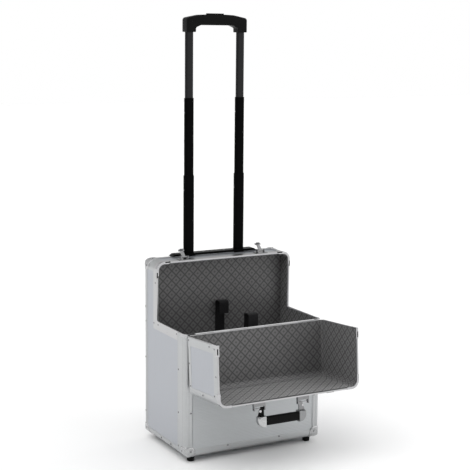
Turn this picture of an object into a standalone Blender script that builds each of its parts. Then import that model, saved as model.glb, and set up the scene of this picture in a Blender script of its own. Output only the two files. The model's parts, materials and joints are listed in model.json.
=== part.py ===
"""Aluminium pilot case with a front-opening lid and a two-wheel telescopic trolley.

Metres, +Z up, X to the right, the front of the case towards -Y.  The closed case is one
rounded box.  Its edge profiles, caps and linings are thin layers of that box, each at its
own depth below the outer surface, so that they nest with a gap.  The lid is modelled
closed and then turned open about the front hinge.
"""
import math

import bmesh
import bpy
from mathutils import Matrix, Vector

MM = 0.001

# Driving dimensions: the closed case
WIDTH = 380 * MM
DEPTH = 236.5 * MM
HEIGHT = 453 * MM
HINGE_HEIGHT = 306.5 * MM
REAR_DEPTH = 79 * MM
LID_DEPTH = DEPTH - REAR_DEPTH
HALF = WIDTH / 2

# Where the case stands: bottom on its feet, bounding box centred on the origin
FOOT_HEIGHT = 12 * MM
FRONT_Y = -34.5 * MM
LID_OPEN = math.radians(175.7)

# Radii of the closed case's edges
RADIUS_UPRIGHT = 12 * MM
RADIUS_BOTTOM = 14 * MM
RADIUS_CORNER = 20 * MM
RADIUS_TOP = 22 * MM
ARC_STEPS = 5

# Layers, as depths below the outer surface
GAP = 0.3 * MM
CAP_LAYER = (0.0, 1.2 * MM)
PROFILE_LAYER = (1.5 * MM, 3.0 * MM)
PANEL_LAYER = (3.3 * MM, 5.8 * MM)
LINING_LAYER = (6.1 * MM, 7.3 * MM)
RIM_DEPTH = 5 * MM
SPLIT_GAP = 0.5 * MM
RIM_THICKNESS = 1.5 * MM
SPLIT_CLEAR = SPLIT_GAP + RIM_THICKNESS + GAP

# For regions that end in open space, and for cutters that run past what they cut
BIG = 2 * WIDTH
OVERSHOOT = 5 * MM

# Edge profile legs and caps
LEG = 22 * MM
FRONT_LEG = 20 * MM
POST_SIDE_LEG = 42 * MM
LID_LEG = 26 * MM
TOP_SIDE_LEG = 26 * MM
CAP_SIZE = 30 * MM
PANEL_INSET = 13 * MM
TOP_PANEL_INSET = 23 * MM

# Front hinge
HINGE_FORWARD = 2 * MM
KNUCKLE_RADIUS = 1.9 * MM
KNUCKLE_BORE = 1.3 * MM
HINGE_PIN_RADIUS = 1.0 * MM
KNUCKLES = 7
HINGE_LENGTH = WIDTH - 2 * 26 * MM
HINGE_LEAF = 11 * MM
HINGE_SHEET = (0.3 * MM, 1.2 * MM)
KNUCKLE_SPACE = 0.6 * MM

# Trolley
TUBE_X = 71.3 * MM
TUBE_Y = DEPTH - 14.8 * MM
STAGE_SIZES = ((28 * MM, 15 * MM), (25.2 * MM, 12 * MM), (21.8 * MM, 9 * MM))
GUIDE_SIZE = (31 * MM, 18 * MM)
SLIDE_GAP = 0.3 * MM
STAGE_TOPS = (200.5 * MM, 393.4 * MM, 564 * MM)
STAGE_BOTTOMS = (-60 * MM, 145 * MM, 343 * MM)
GRIP_BOTTOM = 554.5 * MM
GRIP_HALF = 83.5 * MM
GRIP_END_TOP = 589 * MM
GRIP_TOP = 598.5 * MM
GRIP_DEPTH = 25 * MM
GRIP_LEG = 25 * MM
GRIP_BAR = 27 * MM
BUTTON_SIZE = (48 * MM, 12 * MM)
BUTTON_SOCKET = 13 * MM
BUTTON_DEEP = 9 * MM
BUTTON_PROUD = 1.8 * MM
HOUSING_HALF = 121 * MM
HOUSING_HEIGHT = 4.5 * MM
HOUSING_SPAN = (DEPTH - 25.5 * MM, DEPTH - 1.5 * MM)
HOUSING_SLOPE = 9 * MM
BASE_HEIGHT = 10 * MM
WALL_Y = DEPTH - 42.5 * MM

# Wheels and feet
WHEEL_X = 145 * MM
WHEEL_RADIUS = 20 * MM
WHEEL_WIDTH = 16 * MM
WHEEL_Y = DEPTH - 16 * MM
WHEEL_Z = WHEEL_RADIUS - FOOT_HEIGHT
WELL_HALF = 12.5 * MM
WELL_REACH = 40 * MM
WELL_TOP = 32 * MM
WELL_WALL = 2.5 * MM
CAVITY_HALF = 9.2 * MM
AXLE_RADIUS = 2 * MM
FOOT_RADIUS = 10 * MM
FOOT_TAPER = 0.86
FOOT_X = 163 * MM
FOOT_Y = 22 * MM

# Latches on the rear part's top, and their strikes on the lid
LATCH_X = 109 * MM
LATCH_Y = LID_DEPTH + 13 * MM
LATCH_Z = HEIGHT + 5 * MM
LATCH_LEAN = math.radians(50)
LATCH_BASE_HALF = 15 * MM
LATCH_EAR_X = 9.5 * MM
LATCH_PIN_RADIUS = 1.2 * MM
LATCH_ARM = (4.5 * MM, 21 * MM)
LATCH_HEAD = (8 * MM, 19 * MM, 24 * MM)
LATCH_CLAW = (4 * MM, 21.5 * MM)
LATCH_BASE_SPAN = (LID_DEPTH + 1.5 * MM, LID_DEPTH + 25 * MM)
LATCH_PLATE = (HEIGHT - 1.2 * MM, HEIGHT + 0.2 * MM)
STRIKE_HALF = 10 * MM
STRIKE_SPAN = (LID_DEPTH - 14 * MM, LID_DEPTH - 1.5 * MM)

# Carry handle on the lid
HANDLE_Y = 110.5 * MM
HANDLE_Z = HEIGHT + 24 * MM
BRACKET_X = 59.5 * MM
BRACKET_HALF = (16.5 * MM, 10 * MM)
BRACKET_WEB = 4 * MM
HANDLE_DROP = 42 * MM
HANDLE_GRIP_HALF = 45 * MM
HANDLE_GRIP_SIZE = (15 * MM, 21 * MM)
HANDLE_END = 20 * MM
HANDLE_END_PROUD = 3 * MM
HANDLE_ARM = (47.4 * MM, 63 * MM)

# Straps inside the compartment
STRAP_WIDTH = 26.5 * MM
STRAP_THICKNESS = 2.5 * MM
STRAP_LOOP = 25 * MM
STRAP_CREST = 337 * MM
STRAP_FRONT_Y = 9.6 * MM
STRAP_REAR_X = 3.4 * MM
STRAP_FRONT_ENDS = (235 * MM, 290 * MM)
STRAP_REAR_ENDS = (303 * MM, 190 * MM)

CASE_ORIGIN = Vector((0.0, FRONT_Y, FOOT_HEIGHT))
HINGE_POINT = Vector((0.0, -HINGE_FORWARD, HINGE_HEIGHT))

PARTS = bpy.data.collections.new("aluminium_pilot_case")
GROUPS = {}
MATERIALS = {}


# ---------------------------------------------------------------- scene helpers

def clear_scene():
    """Remove every object that the file opened with."""
    for old in list(bpy.data.objects):
        bpy.data.objects.remove(old, do_unlink=True)
    bpy.context.scene.collection.children.link(PARTS)


def make_material(name, colour, roughness, metallic):
    """A Principled material for the parts that share a finish."""
    material = bpy.data.materials.new(name)
    material.use_nodes = True
    shader = material.node_tree.nodes["Principled BSDF"]
    shader.inputs["Base Color"].default_value = (*colour, 1.0)
    shader.inputs["Roughness"].default_value = roughness
    shader.inputs["Metallic"].default_value = metallic
    MATERIALS[name] = material


def make_materials():
    """The finishes of the whole case."""
    make_material("brushed_panel", (0.60, 0.62, 0.65), 0.42, 1.0)
    make_material("ribbed_panel", (0.58, 0.60, 0.61), 0.45, 1.0)
    make_material("edge_profile", (0.66, 0.67, 0.68), 0.35, 1.0)
    make_material("chromed_steel", (0.75, 0.75, 0.76), 0.15, 1.0)
    make_material("lining_fabric", (0.075, 0.075, 0.078), 0.9, 0.0)
    make_material("black_plastic", (0.012, 0.012, 0.013), 0.4, 0.0)
    make_material("black_tube", (0.010, 0.010, 0.011), 0.3, 0.6)
    make_material("rubber", (0.015, 0.015, 0.015), 0.8, 0.0)
    make_material("webbing", (0.014, 0.014, 0.015), 0.85, 0.0)


def make_group(name, point, parent=None, turn=0.0):
    """An empty on a joint's axis.  Its parts are drawn in the closed case's coordinates."""
    empty = bpy.data.objects.new("axis_" + name, None)
    empty.empty_display_size = 0.02
    PARTS.objects.link(empty)
    origin = Vector(point)
    if parent is None:
        empty.location = CASE_ORIGIN + origin
    else:
        empty.parent = GROUPS[parent][0]
        empty.location = origin - GROUPS[parent][1]
    empty.rotation_euler = (turn, 0.0, 0.0)
    GROUPS[name] = (empty, origin)


def make_groups():
    """One group for each moving body."""
    make_group("case", (0.0, 0.0, 0.0))
    make_group("lid", HINGE_POINT, turn=LID_OPEN)
    make_group("carry_handle", (0.0, HANDLE_Y, HANDLE_Z), "lid", math.pi - LID_OPEN)
    for side, sign in (("left", -1), ("right", 1)):
        make_group("latch_" + side, (sign * LATCH_X, LATCH_Y, LATCH_Z), turn=-LATCH_LEAN)
        make_group("wheel_" + side, (sign * WHEEL_X, WHEEL_Y, WHEEL_Z))
    make_group("stage_1", (0.0, TUBE_Y, HEIGHT), "case")
    make_group("stage_2", (0.0, TUBE_Y, HEIGHT), "stage_1")
    make_group("stage_3", (0.0, TUBE_Y, HEIGHT), "stage_2")
    make_group("release_button", (0.0, TUBE_Y, HEIGHT + GRIP_TOP), "stage_3")


def finish(part, name, material, group="case", smooth=True):
    """Name a solid, give it its finish and hang it on its group's empty."""
    empty, origin = GROUPS[group]
    part.name = name
    part.data.name = name
    part.data.transform(Matrix.Translation(-origin))
    part.parent = empty
    part.data.materials.clear()
    part.data.materials.append(MATERIALS[material])
    if smooth:
        part.data.shade_smooth()
        part.data.set_sharp_from_angle(angle=math.radians(35))
    return part


# ---------------------------------------------------------------- shape helpers

def object_from_bmesh(mesh_builder, name="piece"):
    """Write a bmesh to a new linked object."""
    mesh = bpy.data.meshes.new(name)
    mesh_builder.to_mesh(mesh)
    mesh_builder.free()
    piece = bpy.data.objects.new(name, mesh)
    PARTS.objects.link(piece)
    return piece


def add_block(builder, low, high):
    """Adds a block between two corners to a mesh being built."""
    size = Vector(high) - Vector(low)
    centre = (Vector(high) + Vector(low)) / 2
    place = Matrix.Translation(centre) @ Matrix.Diagonal((*size, 1.0))
    bmesh.ops.create_cube(builder, size=1.0, matrix=place)


def box(low, high):
    """A rectangular block between two corners."""
    builder = bmesh.new()
    add_block(builder, low, high)
    return object_from_bmesh(builder)


def cylinder(centre, radius, length, axis="X", sides=20, top_radius=None):
    """A cylinder, or a cone frustum, centred on a point and lying along an axis."""
    turns = {
        "X": Matrix.Rotation(math.pi / 2, 4, "Y"),
        "Y": Matrix.Rotation(-math.pi / 2, 4, "X"),
        "Z": Matrix.Identity(4),
    }
    end = radius if top_radius is None else top_radius
    builder = bmesh.new()
    bmesh.ops.create_cone(
        builder, cap_ends=True, segments=sides, radius1=radius, radius2=end, depth=length,
        matrix=Matrix.Translation(centre) @ turns[axis],
    )
    return object_from_bmesh(builder)


def filleted(corners, radii, steps=ARC_STEPS):
    """Round a counter-clockwise outline's corners with arcs; a radius of 0 stays sharp."""
    points = []
    count = len(corners)
    for index, radius in enumerate(radii):
        corner = Vector(corners[index])
        if radius == 0:
            points.append(tuple(corner))
            continue
        before = (Vector(corners[index - 1]) - corner).normalized()
        after = (Vector(corners[(index + 1) % count]) - corner).normalized()
        half_angle = before.angle(after) / 2
        centre = corner + (before + after).normalized() * (radius / math.sin(half_angle))
        start = corner + before * (radius / math.tan(half_angle)) - centre
        turn = math.pi - 2 * half_angle
        if before.x * after.y - before.y * after.x > 0:
            turn = -turn
        for step in range(steps + 1):
            points.append(tuple(centre + start @ Matrix.Rotation(-turn * step / steps, 2)))
    return points


def rounded_rectangle(low, high, radii, steps=ARC_STEPS):
    """Outline of a rectangle with its own radius at each corner, from low-low round."""
    corners = [(low[0], low[1]), (high[0], low[1]), (high[0], high[1]), (low[0], high[1])]
    return filleted(corners, radii, steps)


def prism(outline, plane, start, end):
    """A flat outline in the XY, XZ or YZ plane, extruded from start to end along the third axis."""
    frames = {
        "XY": Matrix(((1, 0, 0, 0), (0, 1, 0, 0), (0, 0, 1, 0), (0, 0, 0, 1))),
        "XZ": Matrix(((1, 0, 0, 0), (0, 0, -1, 0), (0, 1, 0, 0), (0, 0, 0, 1))),
        "YZ": Matrix(((0, 0, 1, 0), (1, 0, 0, 0), (0, 1, 0, 0), (0, 0, 0, 1))),
    }
    middle = (start + end) / 2
    if plane == "XZ":
        middle = -middle
    curve = bpy.data.curves.new("outline", "CURVE")
    curve.dimensions = "2D"
    curve.fill_mode = "BOTH"
    curve.extrude = abs(end - start) / 2
    spline = curve.splines.new("POLY")
    spline.points.add(len(outline) - 1)
    for point, (along, across) in zip(spline.points, outline):
        point.co = (along, across, 0.0, 1.0)
    spline.use_cyclic_u = True
    flat = bpy.data.objects.new("outline", curve)
    PARTS.objects.link(flat)
    piece = meshed(flat)
    piece.data.transform(frames[plane] @ Matrix.Translation((0.0, 0.0, middle)))
    return piece


def meshed(piece):
    """The evaluated mesh of a curve, with its caps welded on."""
    graph = bpy.context.evaluated_depsgraph_get()
    mesh = bpy.data.meshes.new_from_object(piece.evaluated_get(graph))
    builder = bmesh.new()
    builder.from_mesh(mesh)
    bmesh.ops.remove_doubles(builder, verts=builder.verts, dist=0.00001)
    bmesh.ops.recalc_face_normals(builder, faces=builder.faces)
    bpy.data.meshes.remove(mesh)
    bpy.data.objects.remove(piece, do_unlink=True)
    return object_from_bmesh(builder)


def apply_modifiers(piece):
    """Replace an object's mesh with its evaluated one."""
    graph = bpy.context.evaluated_depsgraph_get()
    mesh = bpy.data.meshes.new_from_object(piece.evaluated_get(graph))
    piece.modifiers.clear()
    piece.data = mesh
    return piece


def combine(piece, operation, *tools):
    """Union, difference or intersection with some tools, which are used up."""
    for tool in tools:
        modifier = piece.modifiers.new("combine", "BOOLEAN")
        modifier.operation = operation
        modifier.object = tool
        apply_modifiers(piece)
        bpy.data.objects.remove(tool, do_unlink=True)
    return piece


def union(piece, *tools):
    return combine(piece, "UNION", *tools)


def cut(piece, *tools):
    return combine(piece, "DIFFERENCE", *tools)


def common(piece, *tools):
    return combine(piece, "INTERSECT", *tools)


def bevelled(piece, width, segments=2, angle=40):
    """Round a solid's edges that are sharper than the angle."""
    modifier = piece.modifiers.new("bevel", "BEVEL")
    modifier.width = width
    modifier.segments = segments
    modifier.limit_method = "ANGLE"
    modifier.angle_limit = math.radians(angle)
    return apply_modifiers(piece)


def clip(builder, point, normal):
    """Cut a convex solid with a plane, drop what lies beyond it and close the cut."""
    geometry = builder.verts[:] + builder.edges[:] + builder.faces[:]
    result = bmesh.ops.bisect_plane(
        builder, geom=geometry, dist=0.000002, plane_co=point, plane_no=normal, clear_outer=True,
    )
    rim = [item for item in result["geom_cut"] if isinstance(item, bmesh.types.BMEdge)]
    bmesh.ops.holes_fill(builder, edges=rim)


def clip_to_outline(builder, outline, place):
    """Cut a block along the slanting edges of an outline; place maps an outline point to space."""
    for index, end in enumerate(outline):
        start = outline[index - 1]
        run, rise = end[0] - start[0], end[1] - start[1]
        if min(abs(run), abs(rise)) > 0.000001:
            clip(builder, place(*start), Vector(place(rise, -run)).normalized())


def layer(depth, rear=DEPTH):
    """The closed case's outer form, shrunk by a depth on every side."""
    upright = RADIUS_UPRIGHT - depth
    low = RADIUS_BOTTOM - depth
    corner = RADIUS_CORNER - depth
    high = RADIUS_TOP - depth
    left, right = -HALF + depth, HALF - depth
    front = depth
    back = rear - depth if rear == DEPTH else rear
    bottom, top = depth, HEIGHT - depth
    builder = bmesh.new()
    add_block(builder, (left, front, bottom), (right, back, top))
    face = rounded_rectangle((left, bottom), (right, top), (corner, corner, high, high))
    clip_to_outline(builder, face, lambda across, up: (across, 0.0, up))
    side = rounded_rectangle((front, bottom), (back, top), (low, low, upright, high))
    clip_to_outline(builder, side, lambda along, up: (0.0, along, up))
    plan = rounded_rectangle((left, front), (right, back), (upright,) * 4)
    clip_to_outline(builder, plan, lambda across, along: (across, along, 0.0))
    return object_from_bmesh(builder)


def skin(depths, region, window=None, rear=DEPTH):
    """The part of one layer of the case's surface that lies inside a region."""
    outer, inner = depths
    inner_rear = rear if rear == DEPTH else rear - (inner - outer)
    piece = common(layer(outer, rear), region)
    cut(piece, layer(inner, inner_rear))
    if window is not None:
        cut(piece, window)
    return piece


def side_signs():
    return (("left", -1), ("right", 1))


def mirrored_box(sign, near, far, low, high):
    """A block between two distances from the centre plane, on one side of it."""
    span = sorted((sign * near, sign * far))
    return box((span[0], low[0], low[1]), (span[1], high[0], high[1]))


# ---------------------------------------------------------------- case walls

def make_flat_panels():
    """Front, rear, bottom and top sheets of the body."""
    outer, inner = PANEL_LAYER
    top = HINGE_HEIGHT - SPLIT_CLEAR
    wide = HALF - PANEL_INSET
    front = box((-wide, outer, RADIUS_BOTTOM + MM), (wide, inner, top))
    finish(front, "front_panel", "ribbed_panel")
    rear = box(
        (-wide, DEPTH - inner, RADIUS_BOTTOM + MM),
        (wide, DEPTH - outer, HEIGHT - PANEL_INSET),
    )
    cut_wheel_wells(rear)
    finish(rear, "rear_panel", "ribbed_panel")
    bottom_edge = HALF - RADIUS_CORNER - MM
    bottom = box(
        (-bottom_edge, RADIUS_BOTTOM + MM, outer),
        (bottom_edge, DEPTH - RADIUS_BOTTOM - MM, inner),
    )
    cut_wheel_wells(bottom)
    finish(bottom, "bottom_panel", "brushed_panel")
    over = HALF - TOP_PANEL_INSET
    rim = LID_DEPTH + SPLIT_CLEAR
    lid_top = box((-over, rim, HEIGHT - inner), (over, DEPTH - PANEL_INSET, HEIGHT - outer))
    cut_tube_slots(lid_top)
    finish(lid_top, "top_panel", "brushed_panel")


def make_side_panels():
    """The two stepped side sheets, tall at the rear and low at the front."""
    outer, inner = PANEL_LAYER
    step = HINGE_HEIGHT - SPLIT_CLEAR
    rim = LID_DEPTH + SPLIT_CLEAR
    bottom = RADIUS_CORNER + MM
    rear = DEPTH - PANEL_INSET
    corners = [
        (PANEL_INSET, bottom), (rear, bottom), (rear, HEIGHT - TOP_PANEL_INSET),
        (rim, HEIGHT - TOP_PANEL_INSET), (rim, step), (PANEL_INSET, step),
    ]
    for side, sign in side_signs():
        span = sorted((sign * (HALF - inner), sign * (HALF - outer)))
        panel = prism(corners, "YZ", *span)
        finish(panel, "side_panel_" + side, "brushed_panel")


def well_box(sign, grow=GAP):
    """The space in the lower rear corner that a wheel housing fills."""
    return mirrored_box(
        sign, WHEEL_X - WELL_HALF - grow, WHEEL_X + WELL_HALF + grow,
        (DEPTH - WELL_REACH - grow, -BIG), (BIG, WELL_TOP + grow),
    )


def cut_wheel_wells(piece):
    for _side, sign in side_signs():
        cut(piece, well_box(sign))


def cut_tube_slots(piece):
    """Leave room for the two guide tubes at the rear of the top."""
    half_wide = GUIDE_SIZE[0] / 2 + GAP
    half_deep = GUIDE_SIZE[1] / 2 + GAP
    for _side, sign in side_signs():
        cut(piece, mirrored_box(
            sign, TUBE_X - half_wide, TUBE_X + half_wide,
            (TUBE_Y - half_deep, HEIGHT - 4 * OVERSHOOT), (TUBE_Y + half_deep, HEIGHT + OVERSHOOT),
        ))


# ---------------------------------------------------------------- edge profiles

def make_rear_edge_frame():
    """The ring of profile round the rear face, with the short rails along the top's sides."""
    region = box((-BIG, DEPTH - LEG, -BIG), (BIG, BIG, BIG))
    start = LID_DEPTH + LEG + GAP
    for _side, sign in side_signs():
        rail = mirrored_box(
            sign, HALF - TOP_SIDE_LEG, BIG, (start, HEIGHT - TOP_SIDE_LEG), (DEPTH - LEG + MM, BIG),
        )
        union(region, rail)
    window = box((-HALF + LEG, DEPTH - 8 * MM, LEG), (HALF - LEG, BIG, HEIGHT - LEG))
    frame = skin(PROFILE_LAYER, region, window)
    cut_tube_slots(frame)
    well_span = WHEEL_X + WELL_HALF + GAP
    cut(frame, box((-well_span, -BIG, -BIG), (well_span, BIG, LEG + 2 * MM)))
    cut_wheel_wells(frame)
    finish(frame, "rear_edge_frame", "edge_profile")
    rail_half = WHEEL_X - WELL_HALF - GAP
    rail = skin(PROFILE_LAYER, box((-rail_half, DEPTH - LEG, -BIG), (rail_half, BIG, LEG)))
    finish(rail, "rear_bottom_rail", "edge_profile")


def make_lower_edge_frame():
    """The profile round the front and bottom edges, with the two front posts."""
    end = DEPTH - LEG - GAP
    region = box((-BIG, -BIG, -BIG), (BIG, end, LEG))
    window = box((-HALF + LEG, LEG, -BIG), (HALF - LEG, BIG, 8 * MM))
    top = HINGE_HEIGHT - SPLIT_CLEAR
    for _side, sign in side_signs():
        union(region, mirrored_box(sign, HALF - FRONT_LEG, BIG, (-BIG, LEG - MM), (POST_SIDE_LEG, top)))
    finish(skin(PROFILE_LAYER, region, window), "lower_edge_frame", "edge_profile")


def rim_slab(split_y, split_z, lid_side):
    """The closure profile's face along the split between body and lid."""
    sign = 1 if lid_side else -1
    level = sorted((split_z + sign * SPLIT_GAP, split_z + sign * (SPLIT_GAP + RIM_THICKNESS)))
    upright = sorted((split_y - sign * SPLIT_GAP, split_y - sign * (SPLIT_GAP + RIM_THICKNESS)))
    reach = upright[1]
    flat = box((-BIG, -BIG, level[0]), (BIG, reach, level[1]))
    tall = box((-BIG, upright[0], level[0]), (BIG, upright[1], BIG))
    return union(flat, tall)


def make_closure_frame():
    """The rim that the lid closes against, along both steps and round the rear opening."""
    rim = LID_DEPTH + SPLIT_GAP
    step = HINGE_HEIGHT - SPLIT_GAP
    upright = box((-BIG, rim, step - LEG), (BIG, LID_DEPTH + LEG, BIG))
    level = box((-BIG, POST_SIDE_LEG + GAP, step - LEG), (BIG, rim + MM, step))
    frame = skin(PROFILE_LAYER, union(upright, level))
    face = skin((PROFILE_LAYER[0], RIM_DEPTH), rim_slab(LID_DEPTH, HINGE_HEIGHT, False))
    union(frame, face)
    finish(frame, "closure_frame", "edge_profile")


def make_corner_caps():
    """Stamped caps over the body's corners."""
    ends = (("front", -BIG, CAP_SIZE), ("rear", DEPTH - CAP_SIZE, BIG))
    for side, sign in side_signs():
        for end, start, stop in ends:
            corner = mirrored_box(sign, HALF - CAP_SIZE, BIG, (start, -BIG), (stop, CAP_SIZE))
            cap = skin(CAP_LAYER, corner)
            cut(cap, cylinder((sign * FOOT_X, FOOT_Y, 0.0), FOOT_RADIUS + GAP, LEG, "Z", 24))
            finish(cap, "corner_cap_bottom_%s_%s" % (end, side), "edge_profile")
        corner = mirrored_box(
            sign, HALF - CAP_SIZE, BIG, (DEPTH - CAP_SIZE, HEIGHT - CAP_SIZE), (BIG, BIG),
        )
        finish(skin(CAP_LAYER, corner), "corner_cap_top_" + side, "edge_profile")


# ---------------------------------------------------------------- linings

def body_region():
    """The space behind and below the split, clear of the rims."""
    low = box((-BIG, -BIG, -BIG), (BIG, BIG, HINGE_HEIGHT - SPLIT_CLEAR))
    rear = box((-BIG, LID_DEPTH + SPLIT_CLEAR, -BIG), (BIG, BIG, BIG))
    return union(low, rear)


def lid_region():
    """The space in front of and above the split, clear of the rims."""
    return box((-BIG, -BIG, HINGE_HEIGHT + SPLIT_CLEAR), (BIG, LID_DEPTH - SPLIT_CLEAR, BIG))


def make_linings():
    """The fabric-covered liners of both halves and the false wall in front of the tubes."""
    lining = skin(LINING_LAYER, body_region(), rear=WALL_Y)
    finish(lining, "case_lining", "lining_fabric")
    liner = skin(LINING_LAYER, lid_region())
    finish(liner, "lid_lining", "lining_fabric", "lid")
    inset = LINING_LAYER[0]
    outline = rounded_rectangle(
        (-HALF + inset, inset), (HALF - inset, HEIGHT - inset),
        (RADIUS_CORNER - inset, RADIUS_CORNER - inset, RADIUS_TOP - inset, RADIUS_TOP - inset),
    )
    wall = prism(outline, "XZ", WALL_Y + GAP, WALL_Y + 2.2 * MM)
    finish(wall, "tube_compartment_wall", "black_plastic")


# ---------------------------------------------------------------- lid

def make_lid_shell():
    """One sheet bent from the lid's front over to its top."""
    outer, inner = PANEL_LAYER
    low = HINGE_HEIGHT + SPLIT_CLEAR
    back = LID_DEPTH - SPLIT_CLEAR
    outline = filleted(
        [
            (outer, low), (inner, low), (inner, HEIGHT - inner),
            (back, HEIGHT - inner), (back, HEIGHT - outer), (outer, HEIGHT - outer),
        ],
        (0, 0, RADIUS_TOP - inner, 0, 0, RADIUS_TOP - outer),
        steps=6,
    )
    wide = HALF - TOP_PANEL_INSET
    finish(prism(outline, "YZ", -wide, wide), "lid_shell", "ribbed_panel", "lid")


def make_lid_sides():
    """The lid's side sheets and the bent profiles round them."""
    outer, inner = PANEL_LAYER
    for side, sign in side_signs():
        panel = mirrored_box(
            sign, HALF - inner, HALF - outer,
            (PANEL_INSET, HINGE_HEIGHT + SPLIT_CLEAR), (LID_DEPTH - SPLIT_CLEAR, HEIGHT - TOP_PANEL_INSET),
        )
        finish(panel, "lid_side_" + side, "brushed_panel", "lid")
        region = common(
            lid_region(), mirrored_box(sign, HALF - LID_LEG, BIG, (-BIG, 0.0), (BIG, BIG)),
        )
        window = mirrored_box(
            sign, HALF - 8 * MM, BIG,
            (LEG, HINGE_HEIGHT + LEG), (LID_DEPTH - LEG, HEIGHT - TOP_SIDE_LEG),
        )
        finish(skin(PROFILE_LAYER, region, window), "lid_edge_frame_" + side, "edge_profile", "lid")


def make_lid_rim():
    """The lid's half of the closure, with the leg that covers its top sheet's edge."""
    rim = skin((PROFILE_LAYER[0], RIM_DEPTH), rim_slab(LID_DEPTH, HINGE_HEIGHT, True))
    back = LID_DEPTH - SPLIT_GAP
    wide = HALF - LID_LEG - GAP
    leg = skin(PROFILE_LAYER, box((-wide, back - LEG, HEIGHT - 8 * MM), (wide, back, BIG)))
    finish(union(rim, leg), "lid_rim", "edge_profile", "lid")


# ---------------------------------------------------------------- hinge

def hinge_leaf(direction, knuckle_numbers):
    """A leaf with its share of the knuckles; direction is 1 for up the lid, -1 for down the body."""
    pitch = HINGE_LENGTH / KNUCKLES
    near = 0.8 * MM * direction
    far = HINGE_LEAF * direction
    heights = sorted((HINGE_HEIGHT + near, HINGE_HEIGHT + far))
    leaf = box(
        (-HINGE_LENGTH / 2, HINGE_SHEET[0], heights[0]), (HINGE_LENGTH / 2, HINGE_SHEET[1], heights[1]),
    )
    axis_y = -HINGE_FORWARD
    for number in knuckle_numbers:
        centre_x = -HINGE_LENGTH / 2 + (number + 0.5) * pitch
        centre = (centre_x, axis_y, HINGE_HEIGHT)
        length = pitch - KNUCKLE_SPACE
        union(leaf, cylinder(centre, KNUCKLE_RADIUS, length, sides=14))
        arm = sorted((HINGE_HEIGHT + 0.2 * MM * direction, HINGE_HEIGHT + 1.6 * MM * direction))
        union(leaf, box(
            (centre_x - length / 2, axis_y, arm[0]), (centre_x + length / 2, 1.0 * MM, arm[1]),
        ))
    bore = cylinder((0.0, axis_y, HINGE_HEIGHT), KNUCKLE_BORE, WIDTH, sides=14)
    return cut(leaf, bore)


def make_hinge():
    """The long front hinge: two leaves and their pin."""
    finish(hinge_leaf(-1, range(0, KNUCKLES, 2)), "hinge_leaf_case", "edge_profile")
    finish(hinge_leaf(1, range(1, KNUCKLES, 2)), "hinge_leaf_lid", "edge_profile", "lid")
    pin = cylinder((0.0, -HINGE_FORWARD, HINGE_HEIGHT), HINGE_PIN_RADIUS, HINGE_LENGTH, sides=12)
    finish(pin, "hinge_pin", "chromed_steel")


# ---------------------------------------------------------------- trolley

def stadium(size, centre=(0.0, 0.0), steps=6):
    """Outline of a flat-sided oval, long in X."""
    long, short = size[0] / 2, size[1] / 2
    low = (centre[0] - long, centre[1] - short)
    high = (centre[0] + long, centre[1] + short)
    return rounded_rectangle(low, high, (short * 0.999,) * 4, steps)


def grown(size, by):
    return (size[0] + 2 * by, size[1] + 2 * by)


def oval_tube(size, bore, centre, low, high):
    """A straight tube of oval section."""
    tube = prism(stadium(size, centre), "XY", low, high)
    return cut(tube, prism(stadium(bore, centre), "XY", low - OVERSHOOT, high + OVERSHOOT))


def make_guide_frame():
    """The two fixed guide tubes, standing on their base in the rear compartment."""
    low = PANEL_LAYER[1] + GAP
    base_top = low + BASE_HEIGHT
    half_deep = GUIDE_SIZE[1] / 2
    frame = box(
        (-TUBE_X - 24 * MM, TUBE_Y - half_deep, low), (TUBE_X + 24 * MM, TUBE_Y + half_deep, base_top),
    )
    frame = bevelled(frame, 2 * MM)
    for _side, sign in side_signs():
        centre = (sign * TUBE_X, TUBE_Y)
        bore = grown(STAGE_SIZES[0], SLIDE_GAP)
        union(frame, oval_tube(GUIDE_SIZE, bore, centre, base_top - MM, HEIGHT - 1.5 * MM))
    finish(frame, "guide_frame", "black_plastic")


def make_stage_tubes():
    """Three pairs of telescopic tubes, drawn fully out."""
    for number, size in enumerate(STAGE_SIZES):
        if number + 1 < len(STAGE_SIZES):
            bore = grown(STAGE_SIZES[number + 1], SLIDE_GAP)
        else:
            bore = grown(size, -1.2 * MM)
        low = HEIGHT + STAGE_BOTTOMS[number]
        high = HEIGHT + STAGE_TOPS[number]
        for side, sign in side_signs():
            tube = oval_tube(size, bore, (sign * TUBE_X, TUBE_Y), low, high)
            name = "stage_%d_tube_%s" % (number + 1, side)
            finish(tube, name, "black_tube", "stage_%d" % (number + 1))


def make_housing():
    """The black top plate that the tubes come through."""
    low, high = HEIGHT - 1.2 * MM, HEIGHT + HOUSING_HEIGHT
    top_half = HOUSING_HALF - HOUSING_SLOPE
    corners = [(-HOUSING_HALF, low), (HOUSING_HALF, low), (top_half, high), (-top_half, high)]
    outline = filleted(corners, (0, 0, 3 * MM, 3 * MM), steps=3)
    plate = bevelled(prism(outline, "XZ", *HOUSING_SPAN), 1.2 * MM)
    bore = grown(STAGE_SIZES[0], SLIDE_GAP)
    for _side, sign in side_signs():
        cut(plate, prism(stadium(bore, (sign * TUBE_X, TUBE_Y)), "XY", low - OVERSHOOT, high + OVERSHOOT))
    finish(plate, "trolley_housing", "black_plastic")


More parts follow.
